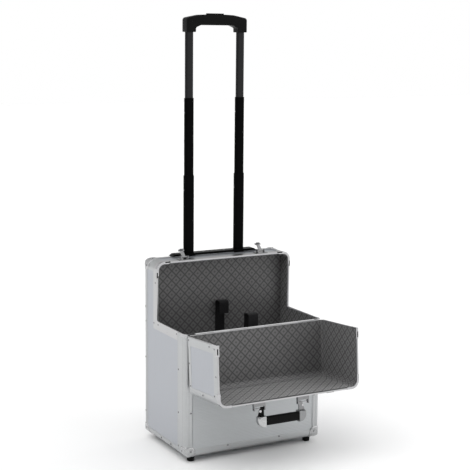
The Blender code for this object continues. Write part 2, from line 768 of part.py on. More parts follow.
def grip_outline():
    """The grip from the front: an arched bar with two legs and curved haunches."""
    inner = GRIP_HALF - GRIP_LEG
    underside = GRIP_TOP - GRIP_BAR
    low = GRIP_BOTTOM
    corners = [
        (-GRIP_HALF, low), (-inner, low), (-inner, underside - 6 * MM), (-inner + 14 * MM, underside),
        (inner - 14 * MM, underside), (inner, underside - 6 * MM), (inner, low), (GRIP_HALF, low),
        (GRIP_HALF, GRIP_END_TOP), (GRIP_HALF * 0.55, GRIP_TOP - 2 * MM), (0.0, GRIP_TOP),
        (-GRIP_HALF * 0.55, GRIP_TOP - 2 * MM), (-GRIP_HALF, GRIP_END_TOP),
    ]
    radii = (
        2 * MM, 2 * MM, 5 * MM, 12 * MM, 12 * MM, 5 * MM, 2 * MM, 2 * MM,
        7 * MM, 60 * MM, 200 * MM, 60 * MM, 7 * MM,
    )
    return [(along, HEIGHT + up) for along, up in filleted(corners, radii, steps=4)]


def make_grip():
    """The pull grip on the upper tubes, with its release button."""
    grip = prism(grip_outline(), "XZ", TUBE_Y - GRIP_DEPTH / 2, TUBE_Y + GRIP_DEPTH / 2)
    bevelled(grip, 4 * MM, segments=3, angle=60)
    for _side, sign in side_signs():
        socket = stadium(grown(STAGE_SIZES[2], GAP), (sign * TUBE_X, TUBE_Y))
        cut(grip, prism(socket, "XY", HEIGHT + GRIP_BOTTOM - OVERSHOOT, HEIGHT + STAGE_TOPS[2] + GAP))
    top = HEIGHT + GRIP_TOP
    pocket = stadium(grown(BUTTON_SIZE, GAP), (0.0, TUBE_Y))
    cut(grip, prism(pocket, "XY", top - BUTTON_SOCKET, top + OVERSHOOT))
    finish(grip, "trolley_grip", "black_plastic", "stage_3")
    button = prism(stadium(BUTTON_SIZE, (0.0, TUBE_Y)), "XY", top - BUTTON_DEEP, top + BUTTON_PROUD)
    bevelled(button, 0.8 * MM, segments=2, angle=60)
    finish(button, "release_button", "black_plastic", "release_button")


# ---------------------------------------------------------------- wheels and feet

def make_wheels():
    """Two wheels in plastic housings set into the lower rear corners."""
    for side, sign in side_signs():
        low, high = (DEPTH - WELL_REACH, -2 * MM), (DEPTH - 1.5 * MM, WELL_TOP)
        housing = mirrored_box(sign, WHEEL_X - WELL_HALF, WHEEL_X + WELL_HALF, low, high)
        cavity = mirrored_box(
            sign, WHEEL_X - CAVITY_HALF, WHEEL_X + CAVITY_HALF,
            (DEPTH - WELL_REACH + WELL_WALL, -BIG), (BIG, WELL_TOP - WELL_WALL),
        )
        cut(housing, cavity)
        centre = (sign * WHEEL_X, WHEEL_Y, WHEEL_Z)
        cut(housing, cylinder(centre, AXLE_RADIUS + GAP, 60 * MM, sides=12))
        finish(housing, "wheel_housing_" + side, "black_plastic")
        axle = cylinder(centre, AXLE_RADIUS, 2 * WELL_HALF, sides=12)
        finish(axle, "wheel_axle_" + side, "chromed_steel")
        wheel = bevelled(cylinder(centre, WHEEL_RADIUS, WHEEL_WIDTH, sides=40), 2.5 * MM, angle=60)
        cut(wheel, cylinder(centre, AXLE_RADIUS + GAP, 60 * MM, sides=12))
        finish(wheel, "wheel_" + side, "rubber", "wheel_" + side)


def make_feet():
    """Round rubber feet under the front corners."""
    height = FOOT_HEIGHT + PROFILE_LAYER[0] - GAP
    for side, sign in side_signs():
        centre = (sign * FOOT_X, FOOT_Y, height / 2 - FOOT_HEIGHT)
        foot = cylinder(centre, FOOT_RADIUS * FOOT_TAPER, height, "Z", 24, FOOT_RADIUS)
        finish(foot, "foot_" + side, "rubber")


# ---------------------------------------------------------------- latches

def latch_arm(pivot):
    """A hook latch: pin, barrel, flat arm, wide head and the claw that catches the strike."""
    middle, axis_y, axis_z = pivot
    arm = cylinder(pivot, LATCH_PIN_RADIUS, 21 * MM, sides=12)
    union(arm, cylinder(pivot, 2 * LATCH_PIN_RADIUS, 15 * MM, sides=14))
    half, reach = LATCH_ARM
    union(arm, box(
        (middle - half, axis_y - MM, axis_z), (middle + half, axis_y + MM, axis_z + reach),
    ))
    head_half, head_low, head_high = LATCH_HEAD
    union(arm, box(
        (middle - head_half, axis_y - MM, axis_z + head_low),
        (middle + head_half, axis_y + MM, axis_z + head_high),
    ))
    claw, claw_low = LATCH_CLAW
    return union(arm, box(
        (middle - half, axis_y - claw, axis_z + claw_low), (middle + half, axis_y, axis_z + head_high),
    ))


def make_latches():
    """Hook latches on the rear part's top and the strikes that they catch."""
    for side, sign in side_signs():
        group = "latch_" + side
        middle = sign * LATCH_X
        low, base_top = LATCH_PLATE
        base = box(
            (middle - LATCH_BASE_HALF, LATCH_BASE_SPAN[0], low),
            (middle + LATCH_BASE_HALF, LATCH_BASE_SPAN[1], base_top),
        )
        for ear_x in (middle - LATCH_EAR_X, middle + LATCH_EAR_X):
            union(base, box(
                (ear_x - 1.2 * MM, LATCH_Y - 4 * MM, base_top - 0.5 * MM),
                (ear_x + 1.2 * MM, LATCH_Y + 4 * MM, LATCH_Z + 2.8 * MM),
            ))
        pivot = (middle, LATCH_Y, LATCH_Z)
        cut(base, cylinder(pivot, LATCH_PIN_RADIUS + GAP, 40 * MM, sides=12))
        finish(base, "latch_base_" + side, "chromed_steel")
        finish(latch_arm(pivot), "latch_arm_" + side, "chromed_steel", group)
        strike = box(
            (middle - STRIKE_HALF, STRIKE_SPAN[0], low),
            (middle + STRIKE_HALF, STRIKE_SPAN[1], HEIGHT - 0.2 * MM),
        )
        finish(strike, "strike_" + side, "chromed_steel", "lid")


# ---------------------------------------------------------------- carry handle

def handle_bracket(sign):
    """A plate with a web and two lugs that hold one end of the carry handle."""
    middle = sign * BRACKET_X
    wide, deep = BRACKET_HALF
    low = HEIGHT - PANEL_LAYER[0] + GAP
    high = low + 1.6 * MM
    plate = bevelled(box(
        (middle - wide, HANDLE_Y - deep, low), (middle + wide, HANDLE_Y + deep, high),
    ), 0.6 * MM)
    union(plate, box(
        (middle - wide + MM, HANDLE_Y - BRACKET_WEB, high - 0.6 * MM),
        (middle + wide - MM, HANDLE_Y + BRACKET_WEB, HANDLE_Z - 6 * MM),
    ))
    for lug_x in (middle - wide + 2.5 * MM, middle + wide - 2.5 * MM):
        union(plate, box(
            (lug_x - 1.4 * MM, HANDLE_Y - BRACKET_WEB + 0.2 * MM, HANDLE_Z - 8 * MM),
            (lug_x + 1.4 * MM, HANDLE_Y + BRACKET_WEB - 0.2 * MM, HANDLE_Z + 4 * MM),
        ))
    return cut(plate, cylinder((middle, HANDLE_Y, HANDLE_Z), 1.7 * MM, 60 * MM, sides=12))


def handle_end(sign):
    """A chromed end: pivot, flat arm and a quarter-round elbow that meets the grip."""
    middle = sign * BRACKET_X
    low = HANDLE_Z + HANDLE_DROP - HANDLE_GRIP_SIZE[1] - HANDLE_END_PROUD
    high = HANDLE_Z + HANDLE_DROP + HANDLE_END_PROUD
    pivot = (middle, HANDLE_Y, HANDLE_Z)
    end = cylinder(pivot, 1.4 * MM, 2 * BRACKET_HALF[0] - MM, sides=12)
    union(end, cylinder(pivot, 3.2 * MM, 2 * BRACKET_HALF[0] - 8.4 * MM, sides=16))
    near, far = sorted(sign * edge for edge in HANDLE_ARM)
    union(end, box(
        (near, HANDLE_Y - 1.8 * MM, HANDLE_Z), (far, HANDLE_Y + 1.8 * MM, low + 4 * MM),
    ))
    inner = HANDLE_GRIP_HALF + GAP
    outer = HANDLE_GRIP_HALF + HANDLE_END
    outline = rounded_rectangle((inner, low), (outer, high), (0, 6 * MM, 17 * MM, 0), 6)
    if sign < 0:
        outline = [(-along, up) for along, up in reversed(outline)]
    half_deep = HANDLE_GRIP_SIZE[0] / 2 + 1.5 * MM
    elbow = prism(outline, "XZ", HANDLE_Y - half_deep, HANDLE_Y + half_deep)
    return union(end, bevelled(elbow, 2 * MM, angle=60))


def make_carry_handle():
    """The carry handle: two brackets on the lid, two chromed ends and a black grip."""
    low = HANDLE_Z + HANDLE_DROP - HANDLE_GRIP_SIZE[1]
    high = HANDLE_Z + HANDLE_DROP
    half_deep = HANDLE_GRIP_SIZE[0] / 2
    for side, sign in side_signs():
        finish(handle_bracket(sign), "handle_bracket_" + side, "chromed_steel", "lid")
        finish(handle_end(sign), "handle_end_" + side, "chromed_steel", "carry_handle")
    grip = box(
        (-HANDLE_GRIP_HALF, HANDLE_Y - half_deep, low), (HANDLE_GRIP_HALF, HANDLE_Y + half_deep, high),
    )
    finish(bevelled(grip, 3 * MM, 3), "handle_grip", "black_plastic", "carry_handle")


# ---------------------------------------------------------------- straps

def strap_loop(middle, near, ends):
    """An inverted U of webbing; ends gives how low its front and rear legs hang."""
    far = near + STRAP_LOOP
    inner = STRAP_CREST - STRAP_THICKNESS
    corners = [
        (near, ends[0]), (near + STRAP_THICKNESS, ends[0]), (near + STRAP_THICKNESS, inner),
        (far - STRAP_THICKNESS, inner), (far - STRAP_THICKNESS, ends[1]), (far, ends[1]),
        (far, STRAP_CREST), (near, STRAP_CREST),
    ]
    tight, wide = 5 * MM, 5 * MM + STRAP_THICKNESS
    radii = (0, 0, tight, tight, 0, 0, wide, wide)
    half = STRAP_WIDTH / 2
    return prism(filleted(corners, radii), "YZ", middle - half, middle + half)


def make_straps():
    """Two webbing straps: one sewn to the rear lining, one to the front wall, both looping over."""
    rear_far = WALL_Y - (LINING_LAYER[1] - LINING_LAYER[0]) - 2 * GAP
    finish(strap_loop(STRAP_REAR_X, rear_far - STRAP_LOOP, STRAP_REAR_ENDS), "strap_rear", "webbing")
    finish(strap_loop(0.0, STRAP_FRONT_Y, STRAP_FRONT_ENDS), "strap_front", "webbing")


def build():
    """Make every part of the case."""
    clear_scene()
    make_materials()
    make_groups()
    make_flat_panels()
    make_side_panels()
    make_rear_edge_frame()
    make_lower_edge_frame()
    make_closure_frame()
    make_corner_caps()
    make_linings()
    make_lid_shell()
    make_lid_sides()
    make_lid_rim()
    make_hinge()
    make_guide_frame()
    make_stage_tubes()
    make_housing()
    make_grip()
    make_wheels()
    make_feet()
    make_latches()
    make_carry_handle()
    make_straps()


build()
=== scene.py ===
"""Looks of the aluminium pilot case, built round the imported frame."""
import json
import math

import bmesh
import bpy
import numpy as np
from mathutils import Matrix, Vector


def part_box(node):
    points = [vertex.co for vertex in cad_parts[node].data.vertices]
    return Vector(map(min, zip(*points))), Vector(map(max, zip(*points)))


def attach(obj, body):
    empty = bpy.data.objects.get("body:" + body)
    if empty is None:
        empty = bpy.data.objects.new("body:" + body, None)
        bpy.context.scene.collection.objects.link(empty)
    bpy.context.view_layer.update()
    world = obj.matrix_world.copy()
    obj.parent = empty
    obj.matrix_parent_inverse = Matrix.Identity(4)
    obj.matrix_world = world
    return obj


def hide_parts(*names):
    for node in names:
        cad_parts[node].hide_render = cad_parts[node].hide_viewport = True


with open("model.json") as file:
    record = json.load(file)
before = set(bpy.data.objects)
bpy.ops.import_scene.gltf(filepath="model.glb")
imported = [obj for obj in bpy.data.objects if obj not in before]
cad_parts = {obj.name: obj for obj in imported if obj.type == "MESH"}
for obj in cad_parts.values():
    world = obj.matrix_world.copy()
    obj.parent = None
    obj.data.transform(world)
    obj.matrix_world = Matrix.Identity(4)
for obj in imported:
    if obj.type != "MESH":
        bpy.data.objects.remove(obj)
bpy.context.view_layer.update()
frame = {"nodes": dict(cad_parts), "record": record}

MM = 0.001
JOINTS = {joint["name"]: joint for joint in frame["record"]["behaviour"]["joints"]}

# The closed case, in its own coordinates: front face y = 0, bottom z = 0
HALF = 190 * MM
DEPTH = 236.5 * MM
HEIGHT = 453 * MM
HINGE_Z = 306.5 * MM
LID_DEPTH = 157.5 * MM
WALL_Y = 194 * MM
R_UPRIGHT, R_BOTTOM, R_CORNER, R_TOP = 12 * MM, 14 * MM, 20 * MM, 22 * MM
TUBE_X, TUBE_Y = 71.3 * MM, DEPTH - 14.8 * MM
SPLIT = 2.3 * MM
# How deep the profiles, the sheets and the cloth lie below the case's outer faces
PROFILE, PANEL, CLOTH = 1.5 * MM, 3.3 * MM, 6.7 * MM
SIDES = (("left", -1), ("right", 1))

HINGE = Vector(JOINTS["lid_hinge"]["pos_m"])
OPEN = -math.radians(JOINTS["lid_hinge"]["range_deg"][0])
CASE = Matrix.Translation((0, HINGE.y + 2 * MM, HINGE.z - HINGE_Z))
LID = (
    Matrix.Translation(HINGE) @ Matrix.Rotation(OPEN, 4, "X")
    @ Matrix.Translation((0, 2 * MM, -HINGE_Z))
)


# ---------------------------------------------------------------- materials

class Shader:
    """A material with short calls for its nodes."""

    def __init__(self, name, colour, roughness, metallic=0.0, **values):
        self.material = bpy.data.materials.new(name)
        self.material.use_nodes = True
        self.tree = self.material.node_tree
        self.bsdf = self.tree.nodes["Principled BSDF"]
        self.bsdf.inputs["Base Color"].default_value = (*colour, 1)
        self.bsdf.inputs["Roughness"].default_value = roughness
        self.bsdf.inputs["Metallic"].default_value = metallic
        for key, value in values.items():
            self.bsdf.inputs[key.replace("_", " ")].default_value = value
        self.material.diffuse_color = (*colour, 1)
        self.height = None

    def node(self, kind, **settings):
        made = self.tree.nodes.new("ShaderNode" + kind)
        for key, value in settings.items():
            setattr(made, key, value)
        return made

    def link(self, source, target):
        self.tree.links.new(source, target)

    def coords(self, scale=(1, 1, 1), uv=False, turn=0.0):
        if uv:
            source = self.node("UVMap", uv_map="flat").outputs["UV"]
        else:
            source = self.node("TexCoord").outputs["Object"]
        mapping = self.node("Mapping")
        mapping.inputs["Scale"].default_value = scale
        mapping.inputs["Rotation"].default_value = (0, 0, turn)
        self.link(source, mapping.inputs["Vector"])
        return mapping.outputs["Vector"]

    def noise(self, scale, detail=3, roughness=0.55, vector=None):
        made = self.node("TexNoise")
        made.inputs["Scale"].default_value = scale
        made.inputs["Detail"].default_value = detail
        made.inputs["Roughness"].default_value = roughness
        self.link(vector or self.coords(), made.inputs["Vector"])
        return made.outputs["Fac"]

    def math(self, operation, first, second=None, third=None, clamp=False):
        made = self.node("Math", operation=operation, use_clamp=clamp)
        for slot, value in enumerate((first, second, third)):
            if value is None:
                continue
            if isinstance(value, (int, float)):
                made.inputs[slot].default_value = value
            else:
                self.link(value, made.inputs[slot])
        return made.outputs[0]

    def remap(self, value, low, high, to_low, to_high):
        made = self.node("MapRange", clamp=True)
        for slot, number in zip(range(1, 5), (low, high, to_low, to_high)):
            made.inputs[slot].default_value = number
        self.link(value, made.inputs[0])
        return made.outputs[0]

    def mix(self, factor, first, second):
        made = self.node("Mix", data_type="RGBA")
        self.link(factor, made.inputs["Factor"])
        for slot, value in ((6, first), (7, second)):
            if isinstance(value, tuple):
                made.inputs[slot].default_value = (*value, 1)
            else:
                self.link(value, made.inputs[slot])
        return made.outputs[2]

    def colour(self, value):
        self.link(value, self.bsdf.inputs["Base Color"])

    def roughness(self, value):
        self.link(value, self.bsdf.inputs["Roughness"])

    def add_height(self, value, amount):
        term = self.math("MULTIPLY", value, amount)
        self.height = term if self.height is None else self.math("ADD", self.height, term)

    def done(self, strength=1.0):
        if self.height is not None:
            bump = self.node("Bump")
            bump.inputs["Strength"].default_value = strength
            bump.inputs["Distance"].default_value = 1.0
            self.link(self.height, bump.inputs["Height"])
            self.link(bump.outputs["Normal"], self.bsdf.inputs["Normal"])
        return self.material


def tint(colour, factor):
    return tuple(channel * factor for channel in colour)


def aluminium(name, colour, roughness, grain, metallic=0.92, depth=0.006 * MM):
    """Satin aluminium; grain is how the brush marks are stretched, per metre."""
    s = Shader(name, colour, roughness, metallic)
    lines = s.noise(1.0, 4, 0.6, s.coords(grain))
    fine = s.noise(1.0, 2, 0.5, s.coords(tuple(3.1 * g for g in grain)))
    cloud = s.noise(9, 3)
    sparse = tuple(0.3 * g + more for g, more in zip(grain, (40, 15, 60)))
    marks = s.noise(1.0, 2, 0.5, s.coords(sparse))
    tone = s.math("ADD", s.math("MULTIPLY", lines, 0.45), s.math("MULTIPLY", fine, 0.2))
    tone = s.math("ADD", tone, s.math("MULTIPLY", cloud, 0.35))
    s.colour(s.mix(s.remap(tone, 0.3, 0.7, 0, 1), tint(colour, 0.94), tint(colour, 1.05)))
    scratch = s.remap(marks, 0.66, 0.74, 0, 0.06)
    rough = s.math("ADD", s.remap(tone, 0.3, 0.7, roughness - 0.05, roughness + 0.06), scratch)
    s.roughness(rough)
    s.add_height(lines, depth)
    s.add_height(fine, depth * 0.5)
    return s.done()


def chrome(name, colour, roughness):
    s = Shader(name, colour, roughness, 1.0)
    smudge = s.noise(70, 4, 0.6)
    pits = s.noise(1900, 2)
    s.colour(s.mix(s.remap(smudge, 0.35, 0.7, 0, 1), colour, tint(colour, 0.88)))
    s.roughness(s.remap(smudge, 0.3, 0.75, roughness, roughness + 0.13))
    s.add_height(pits, 0.004 * MM)
    return s.done()


def plastic(name, colour, roughness, grain_mm=0.7, depth=0.02 * MM, wear=1.5, gloss=0.08):
    s = Shader(name, colour, roughness, Specular_IOR_Level=gloss)
    grain = s.node("TexVoronoi")
    grain.inputs["Scale"].default_value = 1 / (grain_mm * MM)
    s.link(s.coords(), grain.inputs["Vector"])
    cloud = s.noise(25, 3)
    dust = s.noise(420, 3, 0.7)
    base = s.mix(s.remap(cloud, 0.35, 0.7, 0, 1), tint(colour, 0.85), tint(colour, 1.2))
    s.colour(s.mix(s.remap(dust, 0.62, 0.8, 0, 0.5), base, tint(colour, 1 + wear)))
    s.roughness(s.remap(cloud, 0.3, 0.7, roughness - 0.06, roughness + 0.08))
    s.add_height(grain.outputs["Distance"], depth)
    s.add_height(dust, depth * 0.3)
    return s.done()


def webbing():
    """Black woven tape: warp cords along it with a fine weft across."""
    colour = (0.005, 0.005, 0.0055)
    s = Shader("webbing", colour, 0.72, Sheen_Weight=0.08, Sheen_Roughness=0.4, Specular_IOR_Level=0.12)
    uv = s.node("SeparateXYZ")
    s.link(s.coords(uv=True), uv.inputs[0])
    across = s.math("MULTIPLY", uv.outputs[0], 2 * math.pi / (1.9 * MM))
    along = s.math("MULTIPLY", uv.outputs[1], 2 * math.pi / (1.3 * MM))
    warp = s.math("SINE", across)
    shift = s.math("MULTIPLY", s.math("SIGN", warp), math.pi / 2)
    weft = s.math("SINE", s.math("ADD", along, shift))
    weave = s.math("ADD", s.math("ABSOLUTE", warp), s.math("MULTIPLY", weft, 0.45))
    fuzz = s.noise(1500, 2)
    # The colour follows the weave's relief: painted shade in its hollows and painted highlight on its raised
    # cords, with random fuzz on top.
    tone = s.remap(s.math("ADD", weave, s.math("MULTIPLY", fuzz, 0.5)), 0, 1.7, 0, 1)
    s.colour(s.mix(tone, tint(colour, 0.5), tint(colour, 2.1)))
    s.add_height(weave, 0.13 * MM)
    s.add_height(fuzz, 0.05 * MM)
    return s.done()


LATTICE = 17 * MM


def lining():
    """Satin lining: a woven lattice of diamonds, each with a lighter diamond round a dark dot."""
    ground = (0.089, 0.088, 0.089)
    s = Shader("lining_fabric", ground, 0.5, Sheen_Roughness=0.36, Specular_IOR_Level=0.7)
    split = s.node("SeparateXYZ")
    s.link(s.coords(uv=True, turn=math.radians(45)), split.inputs[0])
    drift = s.math("SUBTRACT", s.noise(60, 2, 0.5, s.coords(uv=True)), 0.5)
    wobble = s.math("MULTIPLY", drift, 0.6 * MM)
    cells = []
    for axis in (0, 1):
        place = s.math("DIVIDE", s.math("ADD", split.outputs[axis], wobble), LATTICE)
        cells.append(s.math("ABSOLUTE", s.math("SUBTRACT", s.math("FRACT", place), 0.5)))
    reach = s.math("MAXIMUM", *cells)
    dark = s.math("MAXIMUM", s.remap(reach, 0.40, 0.455, 0, 1), s.remap(reach, 0.08, 0.16, 0.7, 0))
    ring = s.remap(s.math("ABSOLUTE", s.math("SUBTRACT", reach, 0.26)), 0.04, 0.09, 1, 0)
    thread = s.node("SeparateXYZ")
    s.link(s.coords(uv=True), thread.inputs[0])
    warp = s.math("SINE", s.math("MULTIPLY", thread.outputs[0], 2 * math.pi / (0.55 * MM)))
    weft = s.math("SINE", s.math("MULTIPLY", thread.outputs[1], 2 * math.pi / (0.7 * MM)))
    weave = s.math("MULTIPLY", warp, weft)
    slub = s.noise(1.0, 2, 0.5, s.coords((90, 1400, 1), uv=True))
    cloud = s.noise(14, 3)
    tone = s.math("ADD", s.math("MULTIPLY", slub, 0.6), s.math("MULTIPLY", cloud, 0.4))
    base = s.mix(s.remap(tone, 0.35, 0.65, 0, 1), tint(ground, 0.82), tint(ground, 1.18))
    base = s.mix(s.math("MULTIPLY", ring, 0.32), base, tint(ground, 1.9))
    base = s.mix(s.math("MULTIPLY", dark, 0.74), base, tint(ground, 0.25))
    s.colour(base)
    s.roughness(s.math("ADD", s.remap(dark, 0, 1, 0.42, 0.62), s.math("MULTIPLY", slub, 0.06)))
    s.link(s.remap(dark, 0, 1, 1.0, 0.3), s.bsdf.inputs["Sheen Weight"])
    s.add_height(weave, 0.02 * MM)
    s.add_height(dark, -0.10 * MM)
    s.add_height(ring, 0.05 * MM)
    return s.done()


MATERIALS = {
    "brushed_panel": aluminium("brushed_panel", (0.44, 0.455, 0.485), 0.42, (6, 260, 12)),
    "ribbed_panel": aluminium("ribbed_panel", (0.47, 0.485, 0.495), 0.40, (5, 40, 420)),
    "edge_profile": aluminium("edge_profile", (0.47, 0.48, 0.485), 0.34, (30, 30, 500), 0.95),
    # groove is a darker aluminium: painted shade of the profiles' fine grooves, also used as painted shade on
    # the right handle elbow.
    "groove": aluminium("groove", (0.30, 0.305, 0.31), 0.45, (30, 30, 500), 0.9),
    "rim_metal": aluminium("rim_metal", (0.50, 0.50, 0.505), 0.30, (60, 60, 300), 1.0, 0.003 * MM),
    "cap_metal": chrome("cap_metal", (0.50, 0.505, 0.51), 0.20),
    "latch_metal": chrome("latch_metal", (0.26, 0.26, 0.265), 0.14),
    "chromed_steel": chrome("chromed_steel", (0.50, 0.50, 0.51), 0.10),
    "black_plastic": plastic("black_plastic", (0.004, 0.004, 0.004), 0.42),
    "black_tube": plastic("black_tube", (0.0015, 0.0015, 0.0016), 0.25, 1.6, 0.004 * MM, gloss=0.03),
    "anodised_tube": aluminium("anodised_tube", (0.028, 0.028, 0.029), 0.30, (60, 60, 4), 1.0, 0.002 * MM),
    "rubber": plastic("rubber", (0.010, 0.010, 0.010), 0.72, 0.5, 0.04 * MM, 2.0),
    "hub_plastic": plastic("hub_plastic", (0.09, 0.09, 0.092), 0.5, 0.8),
    "lining_fabric": lining(),
    "webbing": webbing(),
}


# ---------------------------------------------------------------- building

def piece(name, built, body, material, place=CASE, replaces=(), smooth=32, bevel=0.0):
    """Turns a bmesh into a shown piece that rides on a body."""
    mesh = bpy.data.meshes.new(name)
    built.to_mesh(mesh)
    built.free()
    mesh.transform(place)
    mesh.shade_smooth()
    mesh.set_sharp_from_angle(angle=math.radians(smooth))
    mesh.materials.append(MATERIALS[material])
    made = bpy.data.objects.new(name, mesh)
    bpy.context.scene.collection.objects.link(made)
    if bevel:
        rounding = made.modifiers.new("rounding", "BEVEL")
        rounding.width = bevel
        rounding.segments = 2
        rounding.limit_method = "ANGLE"
        rounding.angle_limit = math.radians(38)
        rounding.harden_normals = True
    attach(made, body)
    if replaces:
        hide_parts(*replaces)
    return made


def body_of(node):
    for body, members in frame["record"]["behaviour"]["bodies"].items():
        if node in members:
            return body
    raise KeyError(node)


def refined(node, material, bevel=0.35 * MM):
    """The CAD node's own shape with its edges rounded and its curves shaded smooth."""
    built = bmesh.new()
    built.from_mesh(frame["nodes"][node].data)
    bmesh.ops.remove_doubles(built, verts=built.verts, dist=0.01 * MM)
    bmesh.ops.dissolve_limit(built, angle_limit=math.radians(0.5), verts=built.verts, edges=built.edges)
    bmesh.ops.recalc_face_normals(built, faces=built.faces)
    return piece(node + "_fine", built, body_of(node), material, Matrix(), [node], 30, bevel)


def merge(*parts):
    """One bmesh from several."""
    whole = bmesh.new()
    for part in parts:
        mesh = bpy.data.meshes.new("part")
        part.to_mesh(mesh)
        part.free()
        whole.from_mesh(mesh)
        bpy.data.meshes.remove(mesh)
    return whole


def moved(built, matrix):
    bmesh.ops.transform(built, matrix=matrix, verts=built.verts)
    return built


def facing(point, normal):
    """A matrix that takes local +Z to a normal at a point."""
    return Matrix.Translation(point) @ Vector(normal).to_track_quat("Z", "Y").to_matrix().to_4x4()


def loft(rings):
    """A skin through rings of points, closed at both ends."""
    built = bmesh.new()
    placed = [[built.verts.new(point) for point in ring] for ring in rings]
    count = len(placed[0])
    for low, high in zip(placed, placed[1:]):
        for k in range(count):
            n = (k + 1) % count
            built.faces.new((low[k], low[n], high[n], high[k]))
    built.faces.new(placed[0])
    built.faces.new(placed[-1])
    bmesh.ops.recalc_face_normals(built, faces=built.faces)
    return built


def lathe(profile, sides, matrix):
    """A turned shape about local Z from (radius, height) in mm; radius 0 closes on the axis."""
    built = bmesh.new()
    rings = []
    for radius, height in profile:
        if not radius:
            rings.append([built.verts.new((0, 0, height * MM))])
            continue
        spot = Vector((radius * MM, 0, height * MM))
        turns = (Matrix.Rotation(2 * math.pi * k / sides, 3, "Z") for k in range(sides))
        rings.append([built.verts.new(turn @ spot) for turn in turns])
    pairs = list(zip(rings, rings[1:]))
    if len(rings[0]) > 1 and len(rings[-1]) > 1:
        pairs.append((rings[-1], rings[0]))
    for low, high in pairs:
        for k in range(sides):
            n = (k + 1) % sides
            corners = [low[k % len(low)], low[n % len(low)], high[n % len(high)], high[k % len(high)]]
            unique = list(dict.fromkeys(corners))
            if len(unique) > 2:
                built.faces.new(unique)
    bmesh.ops.recalc_face_normals(built, faces=built.faces)
    return moved(built, matrix)


def extruded(outline, plane, start, end):
    """A prism of a flat outline; plane names the outline's two axes."""
    order = {"XY": (0, 1, 2), "XZ": (0, 2, 1), "YZ": (1, 2, 0)}[plane]
    rings = []
    for level in (start, end):
        ring = []
        for first, second in outline:
            place = Vector()
            place[order[0]], place[order[1]], place[order[2]] = first, second, level
            ring.append(place)
        rings.append(ring)
    return loft(rings)


def block(low, high):
    """A rectangular block between two corners."""
    built = bmesh.new()
    size = Vector(high) - Vector(low)
    middle = (Vector(high) + Vector(low)) / 2
    matrix = Matrix.Translation(middle) @ Matrix.Diagonal((*size, 1))
    bmesh.ops.create_cube(built, size=1, matrix=matrix)
    return built


def swept(path, section):
    """A section of (across, out) points carried along a path; across lies along X."""
    across = Vector((1, 0, 0))
    rings = []
    for k, point in enumerate(path):
        before = path[max(k - 1, 0)]
        after = path[min(k + 1, len(path) - 1)]
        forward = (after - before).normalized()
        out = across.cross(forward).normalized()
        side = forward.cross(out)
        rings.append([point + side * a + out * b for a, b in section])
    return loft(rings)


def arc(centre, radius, start, end, steps):
    """Points of an arc in a plane, with angles in degrees."""
    turns = np.radians(np.linspace(start, end, steps + 1))
    return [(centre[0] + radius * math.cos(t), centre[1] + radius * math.sin(t)) for t in turns]


def rivet(point, normal, radius=2.3):
    """A low round rivet head with a thin flange; its radius is in mm."""
    profile = [
        (0, 0.95), (0.35, 0.9), (0.62, 0.72), (0.82, 0.42), (0.9, 0.2), (1.08, 0.16), (1.12, -0.2), (0, -0.2),
    ]
    return lathe([(r * radius, h * 0.95) for r, h in profile], 16, facing(point, normal))


# ---------------------------------------------------------------- the rounded shell

def rounded(first, second, radius):
    """Depth below a rounded edge of two faces that are first and second away."""
    inside = radius - np.hypot(np.maximum(radius - first, 0), np.maximum(radius - second, 0))
    return np.where((first < radius) & (second < radius), inside, np.minimum(first, second))


def shell_depth(points):
    """Depth of points below the closed case's outer surface."""
    side = HALF - np.abs(points[:, 0])
    front, rear = points[:, 1], DEPTH - points[:, 1]
    bottom, top = points[:, 2], HEIGHT - points[:, 2]
    terms = [rounded(side, front, R_UPRIGHT), rounded(side, rear, R_UPRIGHT)]
    terms += [rounded(side, bottom, R_CORNER), rounded(side, top, R_TOP)]
    terms += [rounded(front, bottom, R_BOTTOM), rounded(rear, bottom, R_BOTTOM)]
    terms += [rounded(front, top, R_TOP), rounded(rear, top, R_UPRIGHT)]
    return np.min(terms, axis=0)


CORE = 26 * MM


def onto_shell(points, depth):
    """Moves points of the sharp box in to a given depth below the rounded shell."""
    points = np.asarray(points, float)
    low = np.array([-HALF + CORE, CORE, CORE])
    high = np.array([HALF - CORE, DEPTH - CORE, HEIGHT - CORE])
    core = np.clip(points, low, high)
    ray = points - core
    near, far = np.zeros(len(points)), np.full(len(points), 1.02)
    for _ in range(32):
        middle = (near + far) / 2
        deep = shell_depth(core + ray * middle[:, None]) > depth
        near, far = np.where(deep, middle, near), np.where(deep, far, middle)
    return core + ray * near[:, None]


def grid_faces(built, verts, columns, rows):
    """Quads over a grid of vertices stored row by row."""
    for i in range(rows - 1):
        for k in range(i * columns, (i + 1) * columns - 1):
            built.faces.new((verts[k], verts[k + 1], verts[k + columns + 1], verts[k + columns]))


def wave(points, seed):
    """A smooth 0 to 1 undulation of cloth over a wall."""
    a, b, c = points[:, 0] * 31, points[:, 1] * 37, points[:, 2] * 29
    value = np.sin(a + 1.7 * np.sin(b + seed)) + np.sin(b * 1.3 + 1.1 * np.sin(c + 2 * seed))
    value += np.sin(c * 0.9 + 1.3 * np.sin(a * 0.7 + seed))
    value += 0.5 * np.sin(2.3 * a + 1.9 * b + 2.7 * c)
    return 0.5 + value / 7


# ---------------------------------------------------------------- panels

